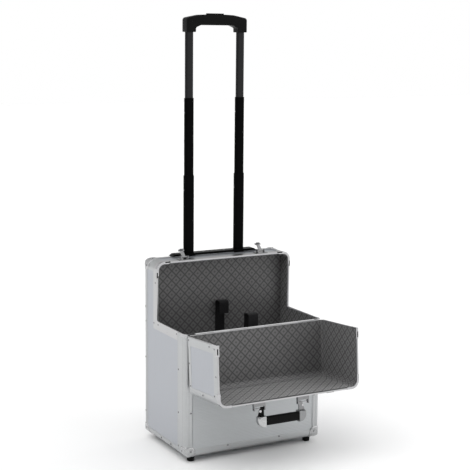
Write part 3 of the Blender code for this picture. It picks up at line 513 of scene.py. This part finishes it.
def ribbed(path, x_low, x_high, thickness=2.2 * MM, pitch=3.8 * MM, rise=0.42 * MM):
    """A sheet along X whose outer face has fine level ribs; path runs along its outer side."""
    points = np.array(path, float)
    steps = np.hypot(*np.diff(points, axis=0).T)
    reach = np.concatenate([[0], np.cumsum(steps)])
    count = int(reach[-1] / pitch * 8)
    travel = np.linspace(0, reach[-1], count)
    line = np.column_stack([np.interp(travel, reach, points[:, axis]) for axis in (0, 1)])
    tangent = np.gradient(line, axis=0)
    tangent /= np.linalg.norm(tangent, axis=1)[:, None]
    inward = np.column_stack([-tangent[:, 1], tangent[:, 0]])
    groove = 0.5 - 0.5 * np.cos(2 * math.pi * travel / pitch)
    outer = line + inward * (rise * groove ** 2)[:, None]
    inner = line + inward * thickness
    outline = [tuple(p) for p in outer] + [tuple(p) for p in inner[::-12]]
    return extruded(outline, "YZ", x_low, x_high)


FACE, FACE_THICK, WINDOW = 1.9 * MM, 1.45 * MM, 22.1 * MM


def make_side_faces():
    """The raised middles of the side panels, almost level with the profiles round them."""
    step, top = HINGE_Z - 22.6 * MM, HEIGHT - 26.1 * MM
    outline = [
        (42.1 * MM, WINDOW), (DEPTH - WINDOW, WINDOW), (DEPTH - WINDOW, top),
        (LID_DEPTH + WINDOW, top), (LID_DEPTH + WINDOW, step), (42.1 * MM, step),
    ]
    for side, sign in SIDES:
        near, far = sorted((sign * (HALF - FACE), sign * (HALF - FACE - FACE_THICK)))
        plate = extruded(outline, "YZ", near, far)
        piece("side_face_" + side, plate, "case", "brushed_panel", bevel=0.1 * MM)
        plate = block((near, WINDOW, HINGE_Z + WINDOW), (far, LID_DEPTH - WINDOW, top))
        piece("lid_side_face_" + side, plate, "lid", "brushed_panel", place=LID, bevel=0.1 * MM)


def make_panels():
    make_side_faces()
    for side, _sign in SIDES:
        refined("side_panel_" + side, "brushed_panel", 0)
        refined("lid_side_" + side, "brushed_panel", 0)
    refined("bottom_panel", "brushed_panel", 0)
    refined("top_panel", "brushed_panel", 0)
    wide = HALF - 13 * MM
    foot = 15 * MM
    front = ribbed([(PANEL, HINGE_Z - SPLIT), (PANEL, foot)], -wide, wide)
    window = HALF - 20.1 * MM
    raised = ribbed([(FACE, HINGE_Z - SPLIT), (FACE, WINDOW)], -window, window, FACE_THICK)
    piece("front_panel_ribbed", merge(front, raised), "case", "ribbed_panel", replaces=["front_panel"])
    rear_y = DEPTH - PANEL
    well_top, well_near, well_far = 33 * MM, 132 * MM, 158 * MM
    parts = [ribbed([(rear_y, well_top), (rear_y, HEIGHT - 13 * MM)], -wide, wide)]
    for x_low, x_high in ((-wide, -well_far), (-well_near, well_near), (well_far, wide)):
        parts.append(ribbed([(rear_y, foot), (rear_y, well_top)], x_low, x_high))
    piece("rear_panel_ribbed", merge(*parts), "case", "ribbed_panel", replaces=["rear_panel"])
    bend = arc((R_TOP, HEIGHT - R_TOP), R_TOP - PANEL, 90, 180, 14)
    path = [(LID_DEPTH - SPLIT, HEIGHT - PANEL), *bend, (PANEL, HINGE_Z + SPLIT)]
    over = HALF - 23 * MM
    shell = ribbed(path, -over, over)
    piece("lid_shell_ribbed", shell, "lid", "ribbed_panel", place=LID, replaces=["lid_shell"])


# ---------------------------------------------------------------- frames and caps

def make_frames():
    for node in ("rear_edge_frame", "rear_bottom_rail", "lower_edge_frame"):
        refined(node, "edge_profile", 0.3 * MM)
    for side, _sign in SIDES:
        refined("lid_edge_frame_" + side, "edge_profile", 0.3 * MM)
    refined("closure_frame", "rim_metal", 0.3 * MM)
    refined("lid_rim", "rim_metal", 0.3 * MM)
    refined("hinge_leaf_case", "rim_metal", 0.2 * MM)
    refined("hinge_leaf_lid", "rim_metal", 0.2 * MM)


def groove(axis, place, start, end, normal):
    """A fine, nearly flat line laid along a profile, to be coloured as a groove's painted shade; place is
    where it crosses the other two axes.
    """
    half, rise, foot = 0.4 * MM, 0.06 * MM, -0.2 * MM
    outline = [(-half, foot), (-0.6 * half, 0.85 * rise), (0, rise), (0.6 * half, 0.85 * rise), (half, foot)]
    along = Vector([float(name == axis) for name in "XYZ"])
    out = Vector(normal)
    turn = Matrix((out.cross(along), out, along)).transposed().to_4x4()
    return moved(extruded(outline, "XY", start, end), Matrix.Translation(place) @ turn)


def make_grooves():
    """Dark lines along the posts and the rails: painted shade where the profiles' fine grooves lie."""
    low, step, top = 31 * MM, HINGE_Z - 3 * MM, HEIGHT - 31 * MM
    front, rear = (0, -1, 0), (0, 1, 0)
    uprights = (
        (14.5 * MM, step), (39.5 * MM, step), (DEPTH - 20 * MM, top - 4 * MM), (DEPTH - 13.5 * MM, top),
    )
    parts = [groove("X", (0, DEPTH - PROFILE, HEIGHT - 20 * MM), low - HALF, HALF - low, rear)]
    for sign in (-1, 1):
        side, out = (sign, 0, 0), sign * (HALF - PROFILE)
        for inset in (12.6 * MM, 22.6 * MM):
            parts.append(groove("Z", (sign * (HALF - inset), PROFILE, 0), low, step, front))
        for y, high in uprights:
            parts.append(groove("Z", (out, y, 0), low, high, side))
        parts.append(groove("Y", (out, 0, 20 * MM), 44 * MM, DEPTH - low, side))
        for inset in (14 * MM, 20 * MM):
            place = (sign * (HALF - inset), DEPTH - PROFILE, 0)
            parts.append(groove("Z", place, low + 3 * MM, top, rear))
    piece("profile_groove_shade", merge(*parts), "case", "groove")


def corner_strip(sign, section, straight=13 * MM):
    """A section of (depth, y) carried round an upper corner of the case's outline seen from the front."""
    centre = (HALF - R_TOP, HEIGHT - R_TOP)
    path = [((HALF, centre[1] - straight), (1, 0))]
    for turn in np.radians(np.linspace(0, 90, 13)):
        out = (math.cos(turn), math.sin(turn))
        path.append(((centre[0] + R_TOP * out[0], centre[1] + R_TOP * out[1]), out))
    path.append(((centre[0] - straight, HEIGHT), (0, 1)))
    rings = []
    for (x, z), (nx, nz) in path:
        rings.append([(sign * (x - nx * d), y, z - nz * d) for d, y in section])
    return loft(rings)


CORNER_OUT, CORNER_IN, CORNER_LIP = 0.95 * MM, 1.4 * MM, 6.6 * MM


def lipped(face, way, reach=9 * MM):
    """Section of a corner piece: a lip on the closing face and a flange along the outside."""
    lip = face - way * 0.45 * MM
    return [
        (CORNER_OUT, lip), (CORNER_LIP, lip), (CORNER_LIP, face), (CORNER_IN, face),
        (CORNER_IN, face + way * reach), (CORNER_OUT, face + way * reach),
    ]


def post_corner(sign):
    """The bent plate on top of a front post, under the hinge's end."""
    bend = 12 * MM
    outer = arc((HALF - bend, bend), bend - CORNER_OUT, 0, -90, 8)
    inner = arc((HALF - bend, bend), bend - CORNER_LIP, -90, 0, 6)
    outline = [(HALF - CORNER_OUT, 26 * MM), (HALF - CORNER_OUT, bend), *outer]
    outline += [(HALF - 26 * MM, CORNER_OUT), (HALF - 26 * MM, CORNER_LIP), (HALF - 14 * MM, CORNER_LIP)]
    outline += [*inner, (HALF - CORNER_LIP, 26 * MM)]
    mirrored = [(sign * x, y) for x, y in outline]
    return extruded(mirrored, "XY", HINGE_Z - 8 * MM, HINGE_Z - 0.1 * MM)


def step_corner(sign, face, level, reach=26 * MM, band=8 * MM):
    """The plates at the step of the lid's rim: one on the side and a lip along each leg."""
    out, inner = sign * (HALF - CORNER_OUT), sign * (HALF - CORNER_IN)
    plate = [
        (face - reach, level), (face, level), (face, level + reach), (face - band, level + reach),
        (face - band, level + 11 * MM), (face - 11 * MM, level + band), (face - reach, level + band),
    ]
    near, far = sorted((sign * (HALF - CORNER_LIP), out))
    return [
        extruded(plate, "YZ", *sorted((inner, out))),
        block((near, face, level), (far, face + 0.4 * MM, level + reach)),
        block((near, face - reach, level - 0.4 * MM), (far, face, level)),
    ]


def make_rim_corners():
    """Chromed pieces over the corners of the two closing rims, with thin black blocks as painted shade in
    their slots.
    """
    body, lid, slots, lid_slots = [], [], [], []
    body_face, lid_face, level = LID_DEPTH + 0.5 * MM, LID_DEPTH - 0.5 * MM, HINGE_Z + 0.5 * MM
    near, far = 0.2 * MM, 0.48 * MM
    for sign in (-1, 1):
        body.append(corner_strip(sign, lipped(body_face, 1)))
        body.append(post_corner(sign))
        lid.append(corner_strip(sign, lipped(lid_face, -1)))
        lid += step_corner(sign, lid_face, level)
        low, high = sorted((sign * (HALF - 0.9 * MM), sign * (HALF - 3.8 * MM)))
        # Thin black blocks on the metal: painted shade in the slot openings.
        lid_slots.append(block(
            (low, lid_face + near, level + 8 * MM), (high, lid_face + far, level + 22 * MM),
        ))
        slots.append(block(
            (low, body_face - far, HEIGHT - 40 * MM), (high, body_face - near, HEIGHT - 26 * MM),
        ))
        low, high = sorted((sign * (HALF - 24 * MM), sign * (HALF - 38 * MM)))
        slots.append(block(
            (low, body_face - far, HEIGHT - 3.8 * MM), (high, body_face + 5 * MM, HEIGHT - 1.0 * MM),
        ))
    piece("body_rim_corners", merge(*body), "case", "chromed_steel", bevel=0.15 * MM)
    piece("lid_rim_corners", merge(*lid), "lid", "chromed_steel", place=LID, bevel=0.15 * MM)
    piece("body_corner_slot_shade", merge(*slots), "case", "black_plastic")
    piece("lid_corner_slot_shade", merge(*lid_slots), "lid", "black_plastic", place=LID)


CAP = 29 * MM


def box_corner(outward):
    """The corner of the case's sharp box on the side that the three signs name."""
    return HALF * outward[0], DEPTH if outward[1] > 0 else 0.0, HEIGHT if outward[2] > 0 else 0.0


def cap_surface(outward, rows=28):
    """A stamped corner cap: outward gives the signs of the box corner it covers."""
    built = bmesh.new()
    corner = np.array(box_corner(outward))
    inward = -np.array(outward, float)
    steps = np.linspace(0, 1, rows) ** 0.9
    first, second = np.meshgrid(steps, steps)
    first, second = first.ravel(), second.ravel()
    soft = 0.42
    angle = np.arctan2(second, first)
    square = 1 / np.maximum(np.cos(angle), np.sin(angle))
    along = np.cos(angle) + np.sin(angle)
    core = 1 - soft
    inner = core * along + np.sqrt(np.maximum((core * along) ** 2 - (2 * core ** 2 - soft ** 2), 0))
    longer = np.maximum(np.maximum(first, second), 1e-9)
    scale = np.where(np.minimum(first, second) / longer > core, inner, square) / square
    u, v = first * scale * CAP, second * scale * CAP
    border = 1 - np.maximum(first, second)
    lift = np.clip((border - 0.02) / 0.05, 0, 1)
    dimple = np.exp(-(((u / CAP - 0.6) ** 2 + (v / CAP - 0.6) ** 2) / 0.012) ** 2)
    depth = 1.35 * MM - 1.15 * MM * lift + 0.8 * MM * dimple
    zero = np.zeros_like(u)
    for offsets in ((zero, u, v), (u, zero, v), (u, v, zero)):
        points = corner + np.column_stack(offsets) * inward
        placed = onto_shell(points, 0.0)
        inner_points = onto_shell(points, CORE * 0.2)
        direction = inner_points - placed
        direction /= np.linalg.norm(direction, axis=1)[:, None]
        placed = placed + direction * depth[:, None]
        verts = [built.verts.new(p) for p in placed]
        grid_faces(built, verts, rows, rows)
    bmesh.ops.remove_doubles(built, verts=built.verts, dist=0.02 * MM)
    bmesh.ops.recalc_face_normals(built, faces=built.faces)
    centre = Vector(corner + inward * CAP)
    probe = max(built.faces, key=lambda f: (f.calc_center_median() - centre).length)
    if probe.normal.dot(probe.calc_center_median() - centre) < 0:
        bmesh.ops.reverse_faces(built, faces=built.faces)
    return built


def make_caps():
    rivets = []
    for side, sx in SIDES:
        for name, outward in (
            ("bottom_front", (sx, -1, -1)), ("bottom_rear", (sx, 1, -1)), ("top", (sx, 1, 1)),
        ):
            cap = piece(
                "cap_%s_%s" % (name, side), cap_surface(outward), "case", "cap_metal",
                replaces=["corner_cap_%s_%s" % (name, side)], smooth=60,
            )
            wall = cap.modifiers.new("wall", "SOLIDIFY")
            wall.thickness = 0.5 * MM
            wall.offset = -1
            corner = Vector(box_corner(outward))
            inward = -Vector(outward)
            for axis in range(3):
                offset = Vector([0.6 * CAP] * 3)
                offset[axis] = 0.75 * MM
                normal = Vector((0, 0, 0))
                normal[axis] = outward[axis]
                if name != "top" and axis == 2:
                    continue
                rivets.append(rivet(corner + offset * inward, normal, 2.1))
    piece("cap_rivets", merge(*rivets), "case", "latch_metal")


def make_rivets():
    """Rivets through the profiles, mirrored left and right."""
    rear = DEPTH / MM
    body, lid = [], []
    for sign in (-1, 1):
        side = (sign, 0, 0)
        for y, z in (
            (37, 108), (37, 214), (134, 15.5), (37, 25), (80, 15), (rear - 11, 60), (rear - 11, 200),
            (rear - 11, 330), (168, 400), (48, 298), (152, 298), (176, 298), (224, 293),
        ):
            body.append(rivet((sign * (HALF - PROFILE), y * MM, z * MM), side))
        for x, z in ((172.5, 112.5), (172.5, 219), (72, 19), (172, 290)):
            body.append(rivet((sign * x * MM, PROFILE, z * MM), (0, -1, 0)))
        for x, z in ((179, 80), (179, 200), (179, 320), (70, HEIGHT / MM - 12), (120, HEIGHT / MM - 12)):
            body.append(rivet((sign * x * MM, DEPTH - PROFILE, z * MM), (0, 1, 0)))
        for y, z in (
            (13, 316), (117, 316), (142, 318), (12, 371), (16, 424), (78, 435), (137, 426), (147, 380),
        ):
            lid.append(rivet((sign * (HALF - PROFILE), y * MM, z * MM), side))
        for x, y in ((60, 145), (140, 145)):
            lid.append(rivet((sign * x * MM, y * MM, HEIGHT - PROFILE), (0, 0, 1)))
    piece("body_rivets", merge(*body), "case", "latch_metal")
    piece("lid_rivets", merge(*lid), "lid", "latch_metal", LID)


# ---------------------------------------------------------------- linings and straps

def spaced(start, end, step=8 * MM):
    return np.linspace(start, end, max(2, int(round(abs(end - start) / step)) + 1))


def add_wall(built, uv_layer, wall, notched, seed):
    """A gently uneven wall of cloth: (axis, place on it, steps on each other axis)."""
    axis, place, first, second = wall
    u, v = (grid.ravel() for grid in np.meshgrid(first, second))
    columns = [u, v]
    columns.insert(axis, np.full(len(u), place))
    base = np.column_stack(columns)
    bulge = 0.55 * MM * wave(base, seed)
    if (axis, place) == (1, WALL_Y):
        middle = base.copy()
        middle[:, 1] = DEPTH / 2
        points = onto_shell(middle, 6.2 * MM)
        points[:, 1] = WALL_Y - 0.9 * MM - bulge
    else:
        points = onto_shell(base, CLOTH + bulge)
    verts = [built.verts.new(point) for point in points]
    count = len(first)
    for i in range(len(second) - 1):
        for k in range(i * count, (i + 1) * count - 1):
            ids = (k, k + 1, k + count + 1, k + count)
            centre = base[list(ids)].mean(axis=0)
            if notched and centre[2] >= HINGE_Z - SPLIT and centre[1] <= LID_DEPTH + SPLIT:
                continue
            made = built.faces.new([verts[n] for n in ids])
            for loop, n in zip(made.loops, ids):
                loop[uv_layer].uv = (u[n], v[n])


def edges_with(values, *extra):
    return np.unique(np.round(np.concatenate([values, extra]), 7))


def crisp_borders(made):
    """Keeps the shading of a cloth's open edges from bending where thickness is added."""
    built = bmesh.new()
    built.from_mesh(made.data)
    for edge in built.edges:
        if edge.is_boundary:
            edge.smooth = False
    built.to_mesh(made.data)
    built.free()


def lined(name, walls, body, replaces, place):
    """One cloth over several walls, facing inwards."""
    built = bmesh.new()
    uv_layer = built.loops.layers.uv.new("flat")
    for number, wall in enumerate(walls):
        add_wall(built, uv_layer, wall, body == "case", number * 1.3)
    bmesh.ops.remove_doubles(built, verts=built.verts, dist=0.4 * MM)
    loose = [v for v in built.verts if not v.link_faces]
    bmesh.ops.delete(built, geom=loose, context="VERTS")
    bmesh.ops.recalc_face_normals(built, faces=built.faces)
    inside = Vector((0, 100 * MM, 200 * MM)) if body == "case" else Vector((0, 90 * MM, 380 * MM))
    probe = built.faces[:][len(built.faces) // 3]
    if probe.normal.dot(inside - probe.calc_center_median()) < 0:
        bmesh.ops.reverse_faces(built, faces=built.faces)
    area = sum(face.calc_area() for face in built.faces)
    cloth = piece(name, built, body, "lining_fabric", place=place, replaces=replaces, smooth=50)
    crisp_borders(cloth)
    wall = cloth.modifiers.new("cloth", "SOLIDIFY")
    wall.thickness = 0.6 * MM
    wall.offset = -1


def make_linings():
    near = 7 * MM
    across = edges_with(spaced(-HALF, HALF), near - HALF, HALF - near, 16 * MM - HALF, HALF - 16 * MM)
    low_top, rear_start = HINGE_Z - SPLIT, LID_DEPTH + SPLIT
    heights = edges_with(spaced(0, HEIGHT), low_top, near, HEIGHT - near, HEIGHT - 16 * MM)
    lows = edges_with(spaced(0, low_top), near)
    depths = edges_with(spaced(0, WALL_Y), near, rear_start)
    walls = [
        (1, 0.0, across, lows), (2, 0.0, across, depths), (2, HEIGHT, across, spaced(rear_start, WALL_Y)),
        (0, -HALF, depths, heights), (0, HALF, depths, heights), (1, WALL_Y, across, heights),
    ]
    lined("case_lining_cloth", walls, "case", ["case_lining"], CASE)
    edges = np.array([near, 13 * MM, 18 * MM])
    tall = edges_with(spaced(HINGE_Z + SPLIT, HEIGHT), *(HEIGHT - edges))
    deep = edges_with(spaced(0, LID_DEPTH - SPLIT), *edges)
    walls = [
        (1, 0.0, across, tall), (2, HEIGHT, across, deep), (0, -HALF, deep, tall), (0, HALF, deep, tall),
    ]
    lined("lid_lining_cloth", walls, "lid", ["lid_lining"], LID)


STRAP_WIDTH, STRAP_LOOP, STRAP_CREST = 26.5 * MM, 25 * MM, 337 * MM


def strap_section():
    """The webbing's outline across: two faces with thicker edges and rounded sides."""
    half, thick, lip, side = STRAP_WIDTH / 2 - 0.4 * MM, 0.8 * MM, 1.6 * MM, 0.4 * MM
    face = [(-half, 1.0), (lip - half, 1.1), (2.2 * lip - half, 0.85), (0, 0.9)]
    face += [(-a, b) for a, b in face[-2::-1]]
    under = [(a, -b * thick) for a, b in face]
    over = [(a, b * thick) for a, b in face[::-1]]
    return [*under, (half + side, 0), *over, (-half - side, 0)]


def strap(name, middle, path, replaces):
    """Flat webbing along a path in the YZ plane."""
    points = [Vector((middle, y, z)) for y, z in path]
    built = swept(points, strap_section())
    uv_layer = built.loops.layers.uv.new("flat")
    reach = np.concatenate([[0], np.cumsum([(b - a).length for a, b in zip(points, points[1:])])])
    for face in built.faces:
        for loop in face.loops:
            flat = Vector((middle, loop.vert.co.y, loop.vert.co.z))
            nearest = min(range(len(points)), key=lambda k: (points[k] - flat).length)
            loop[uv_layer].uv = (loop.vert.co.x, reach[nearest])
    made = piece(name, built, "case", "webbing", replaces=replaces, smooth=50)


def smooth_path(points, rounds=3):
    """Chaikin smoothing of a polyline, ends kept."""
    points = [np.array(p, float) for p in points]
    for _ in range(rounds):
        cut = [points[0]]
        for a, b in zip(points, points[1:]):
            cut += [0.75 * a + 0.25 * b, 0.25 * a + 0.75 * b]
        points = [*cut, points[-1]]
    return [tuple(p) for p in points]


def loop_path(near, ends):
    """An inverted U whose front and rear legs hang to the two given heights."""
    inset, knee = 1.25 * MM, 11 * MM
    front, rear, crest = near + inset, near + STRAP_LOOP - inset, STRAP_CREST - inset
    first, last = ends
    return smooth_path([
        (front, first), (front, (first + crest) / 2), (front - 0.2 * MM, crest - knee),
        (front, crest - 2 * MM), (front + 6 * MM, crest), (rear - 6 * MM, crest), (rear, crest - 2 * MM),
        (rear, crest - knee), (rear, (last + crest) / 2), (rear, last),
    ])


def make_straps():
    strap("webbing_front", 0.0, loop_path(9.6 * MM, (236 * MM, 291 * MM)), ["strap_front"])
    rear_near = WALL_Y - 1.8 * MM - STRAP_LOOP
    strap("webbing_rear", 3.4 * MM, loop_path(rear_near, (304 * MM, 192 * MM)), ["strap_rear"])


# ---------------------------------------------------------------- trolley

def make_trolley():
    for number in (1, 2, 3):
        metal = "anodised_tube" if number == 3 else "black_tube"
        for side, _sign in SIDES:
            refined("stage_%d_tube_%s" % (number, side), metal, 0.25 * MM)
    refined("trolley_grip", "black_plastic", 0.4 * MM)
    refined("release_button", "black_plastic", 0.3 * MM)
    refined("trolley_housing", "black_tube", 0.4 * MM)
    refined("guide_frame", "black_plastic", 0)
    refined("tube_compartment_wall", "black_plastic", 0)
    peg = [(0, 0.12), (1.2, 0.10), (1.55, 0.02), (1.6, -0.4), (0, -0.4)]
    for number, top, half in ((1, 200.5, 14.0), (2, 393.4, 12.6)):
        pegs = []
        for sign in (-1, 1):
            for way in (-1, 1):
                place = (sign * TUBE_X + way * half * MM, TUBE_Y, HEIGHT + (top - 36) * MM)
                pegs.append(lathe(peg, 16, facing(place, (way, 0, 0))))
        piece("snap_pegs_%d" % number, merge(*pegs), "trolley_stage_%d" % number, "chromed_steel")
    screw = [(0, 0.0), (0.6, 0.0), (0.7, 0.5), (1.9, 0.55), (2.3, 0.2), (2.3, -0.5), (0, -0.5)]
    screws = []
    for x, rise in ((-112, 1.9), (-30, 4.5), (30, 4.5), (112, 1.9)):
        place = (x * MM, DEPTH - 13.5 * MM, HEIGHT + rise * MM)
        screws.append(lathe(screw, 18, facing(place, (0, 0, 1))))
    piece("housing_screws", merge(*screws), "case", "chromed_steel")


# ---------------------------------------------------------------- wheels and feet

def both_ends(upper):
    """A turned profile that is the same above and below, from its upper half."""
    return [(radius, -height) for radius, height in upper] + upper[::-1]


def make_wheels():
    tyre = both_ends([
        (11.5, 7.0), (16.5, 7.4), (18.4, 7.0), (19.6, 5.8), (20.0, 3.6), (20.0, 1.2), (19.5, 0.8),
    ])
    hub = both_ends([(2.3, 8.0), (5.2, 8.0), (5.6, 6.2), (10.2, 5.2), (10.8, 6.9), (12.4, 6.9)])
    for side, _sign in SIDES:
        low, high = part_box("wheel_" + side)
        centre = (low + high) / 2
        place = facing(centre, (1, 0, 0))
        ring = lathe(tyre, 64, place)
        piece("tyre_" + side, ring, "wheel_" + side, "rubber", place=Matrix(), replaces=["wheel_" + side])
        disc = lathe(hub, 48, place)
        piece("hub_" + side, disc, "wheel_" + side, "hub_plastic", Matrix())
        refined("wheel_housing_" + side, "black_plastic", 0.5 * MM)
        refined("wheel_axle_" + side, "chromed_steel", 0.2 * MM)


def make_feet():
    profile = [
        (0, -10.8), (3.0, -10.8), (3.4, -12.0), (7.4, -12.0), (8.5, -11.2), (8.9, -9.0), (9.4, -3.5),
        (10.0, -1.0), (10.0, 1.0), (0, 1.0),
    ]
    for side, sign in SIDES:
        foot = lathe(profile, 32, Matrix.Translation((sign * 163 * MM, 22 * MM, 0)))
        piece("rubber_foot_" + side, foot, "case", "rubber", replaces=["foot_" + side])


def superellipse(half_wide, half_tall, power, steps=36):
    """Points of a soft-cornered rectangle."""
    points = []
    for turn in np.linspace(0, 2 * math.pi, steps, endpoint=False):
        c, d = math.cos(turn), math.sin(turn)
        wide = half_wide * math.copysign(abs(c) ** (2 / power), c)
        points.append((wide, half_tall * math.copysign(abs(d) ** (2 / power), d)))
    return points


HANDLE_Y, HANDLE_Z = 110.5 * MM, HEIGHT + 24 * MM
GRIP_LOW, GRIP_HIGH = HANDLE_Z + 21 * MM, HANDLE_Z + 42 * MM


def handle_grip():
    """The black grip: a soft-cornered bar with fine finger ribs on its hidden side."""
    half, ribs = 44.9 * MM, 14
    rings = []
    for t in np.linspace(-1, 1, 61):
        centre = Vector((t * half, HANDLE_Y, (GRIP_LOW + GRIP_HIGH) / 2))
        swell = 1 + 0.03 * math.cos(t * math.pi / 2)
        rib = 0.035 * (0.5 + 0.5 * math.cos(ribs * math.pi * t)) if abs(t) < 0.72 else 0
        ring = []
        for across, up in superellipse(7.4 * MM, 10.3 * MM, 3.6):
            shrink = swell - (rib if up > 2 * MM else 0)
            ring.append(centre + Vector((0, across * shrink, -up * swell)))
        rings.append(ring)
    grip = loft(rings)
    piece("carry_grip", grip, "carry_handle", "black_plastic", place=LID, replaces=["handle_grip"], smooth=50)


def elbow(sign):
    """A polished quarter-round elbow, domed on both faces."""
    low, high = GRIP_LOW - 3 * MM, GRIP_HIGH + 3 * MM
    inner, outer = 45.3 * MM, 65 * MM
    heel, corner = 5 * MM, 17 * MM
    outline = [(inner, low), (outer - heel, low)]
    outline += arc((outer - heel, low + heel), heel, -90, 0, 6)
    outline += arc((outer - corner, high - corner), corner, 0, 90, 14)
    outline += [(inner, high)]
    middle = (low + high) / 2
    half_dome = [(0, 1.0), (5.5, 0.995), (7.6, 0.96), (8.6, 0.90), (9.0, 0.80)]
    dome = [(-offset, share) for offset, share in half_dome[:0:-1]] + half_dome
    rings = []
    for offset, share in dome:
        ring = []
        for x, z in outline:
            wide = inner + (x - inner) * share
            ring.append((sign * wide, HANDLE_Y + offset * MM, middle + (z - middle) * share))
        rings.append(ring)
    return loft(rings)


def make_handle():
    handle_grip()
    top, low = GRIP_LOW - 1.6 * MM, HANDLE_Z - 3 * MM
    cheek = [
        (47.6 * MM, low), (54.5 * MM, low - 0.4 * MM), (57.0 * MM, low + 2 * MM), (63.4 * MM, top),
        (47.4 * MM, top),
    ]
    pin = [(0, 13.6), (1.0, 13.6), (1.35, 13.2), (1.4, -13.2), (1.0, -13.6), (0, -13.6)]
    boss = [(0, 3.1), (1.6, 3.0), (2.6, 2.4), (3.1, 1.2), (3.2, -3.0), (0, -3.0)]
    # One mirrored part gets a different material on each side: the black left arm and the dull, dark right
    # elbow are painted shade of the same metal that the left elbow and the right arm show lit.
    lit_and_shaded_looks = {
        "left": ("cap_metal", "black_plastic", "black_plastic"),
        "right": ("groove", "latch_metal", "chromed_steel"),
    }
    for side, sign in SIDES:
        elbow_shading_look, arm_shading_look, arm_slot_shading_look = lit_and_shaded_looks[side]
        piece(
            "elbow_" + side, elbow(sign), "carry_handle", elbow_shading_look, LID,
            ["handle_end_" + side], smooth=40,
        )
        outline = [(sign * x, z) for x, z in cheek]
        arm = extruded(outline, "XZ", HANDLE_Y - 1.9 * MM, HANDLE_Y + 1.9 * MM)
        piece(
            "handle_arm_" + side, arm, "carry_handle", arm_shading_look, LID, smooth=30, bevel=0.6 * MM,
        )
        turned = [
            lathe(pin, 20, facing((sign * 59.5 * MM, HANDLE_Y, HANDLE_Z), (1, 0, 0))),
            lathe(boss, 24, facing(
                (sign * 57.5 * MM, HANDLE_Y - 0.4 * MM, HANDLE_Z + 6.5 * MM), (0, -1, 0),
            )),
        ]
        piece("handle_pin_" + side, merge(*turned), "carry_handle", "chromed_steel", place=LID)
        refined("handle_bracket_" + side, "latch_metal", 0.5 * MM)


def make_hardware():
    for side, _sign in SIDES:
        for node in ("latch_base_", "latch_arm_", "strike_"):
            refined(node + side, "latch_metal", 0.4 * MM)
    refined("hinge_pin", "chromed_steel", 0.1 * MM)
    make_handle()


# ---------------------------------------------------------------- stage

def make_floor():
    built = bmesh.new()
    bmesh.ops.create_grid(built, x_segments=1, y_segments=1, size=14)
    mesh = bpy.data.meshes.new("floor")
    built.to_mesh(mesh)
    built.free()
    floor = bpy.data.objects.new("floor", mesh)
    bpy.context.scene.collection.objects.link(floor)
    s = Shader("floor", (0.90, 0.90, 0.90), 0.9)
    s.colour(s.mix(s.noise(3, 3), (0.895, 0.895, 0.895), (0.915, 0.915, 0.915)))
    mesh.materials.append(s.done())


# Directions of the studio's darker zones, where each starts and is full, and how dark it is
ZONES = (
    ((-0.46, -0.86, 0.22), 0.62, 0.92, 0.85),
    ((0.30, 0.95, 0.05), 0.55, 0.95, 0.45),
    ((0.0, 0.0, 1.0), 0.55, 0.95, 0.35),
)
# Name, direction, strength and softness in degrees
SUNS = (("key", (-0.55, -0.35, 1.0), 1.35, 50), ("fill", (0.8, -0.5, 0.9), 0.65, 70))


def make_world():
    """A white studio to the camera, with soft darker zones for the metal to mirror."""
    world = bpy.data.worlds.new("studio")
    bpy.context.scene.world = world
    world.use_nodes = True
    nodes, links = world.node_tree.nodes, world.node_tree.links
    direction = nodes.new("ShaderNodeTexCoord").outputs["Generated"]
    level = None
    for way, start, full, amount in ZONES:
        along = nodes.new("ShaderNodeVectorMath")
        along.operation = "DOT_PRODUCT"
        along.inputs[1].default_value = Vector(way).normalized()
        links.new(direction, along.inputs[0])
        shade = nodes.new("ShaderNodeMapRange")
        shade.interpolation_type = "SMOOTHSTEP"
        for slot, number in zip(range(1, 5), (start, full, 1.0, 1 - amount)):
            shade.inputs[slot].default_value = number
        links.new(along.outputs["Value"], shade.inputs[0])
        if level is None:
            level = shade.outputs[0]
            continue
        product = nodes.new("ShaderNodeMath")
        product.operation = "MULTIPLY"
        links.new(level, product.inputs[0])
        links.new(shade.outputs[0], product.inputs[1])
        level = product.outputs[0]
    seen = nodes.new("ShaderNodeMix")
    links.new(nodes.new("ShaderNodeLightPath").outputs["Is Camera Ray"], seen.inputs["Factor"])
    links.new(level, seen.inputs[2])
    seen.inputs[3].default_value = 1.0
    back = nodes["Background"]
    back.inputs["Color"].default_value = (1, 1, 1, 1)
    links.new(seen.outputs[0], back.inputs["Strength"])


def make_stage():
    make_floor()
    make_world()
    for name, heading, strength, softness in SUNS:
        light = bpy.data.lights.new(name, "SUN")
        light.angle = math.radians(softness)
        light.energy = strength
        lamp = bpy.data.objects.new(name, light)
        lamp.rotation_euler = Vector(heading).to_track_quat("Z", "Y").to_euler()
        bpy.context.scene.collection.objects.link(lamp)
    bpy.context.scene.view_settings.view_transform = "Standard"


def make_camera():
    yaw, pitch, roll = 0.4974, 0.1635, 0.0090
    camera = bpy.data.cameras.new("camera")
    camera.sensor_width = 36
    camera.lens = 93.21
    camera.clip_start, camera.clip_end = 0.1, 60
    forward = Vector((
        math.sin(yaw) * math.cos(pitch), math.cos(yaw) * math.cos(pitch), -math.sin(pitch),
    ))
    right = Vector((math.cos(yaw), -math.sin(yaw), 0))
    up = right.cross(forward)
    side = right * math.cos(roll) + up * math.sin(roll)
    top = up * math.cos(roll) - right * math.sin(roll)
    view = bpy.data.objects.new("camera", camera)
    turn = Matrix((side, top, -forward)).transposed().to_4x4()
    view.matrix_world = Matrix.Translation((-1.4123, -2.5281, 1.0150)) @ turn
    bpy.context.scene.collection.objects.link(view)
    bpy.context.scene.camera = view


make_panels()
make_frames()
make_grooves()
make_rim_corners()
make_caps()
make_rivets()
make_linings()
make_straps()
make_trolley()
make_wheels()
make_feet()
make_hardware()
make_stage()
make_camera()
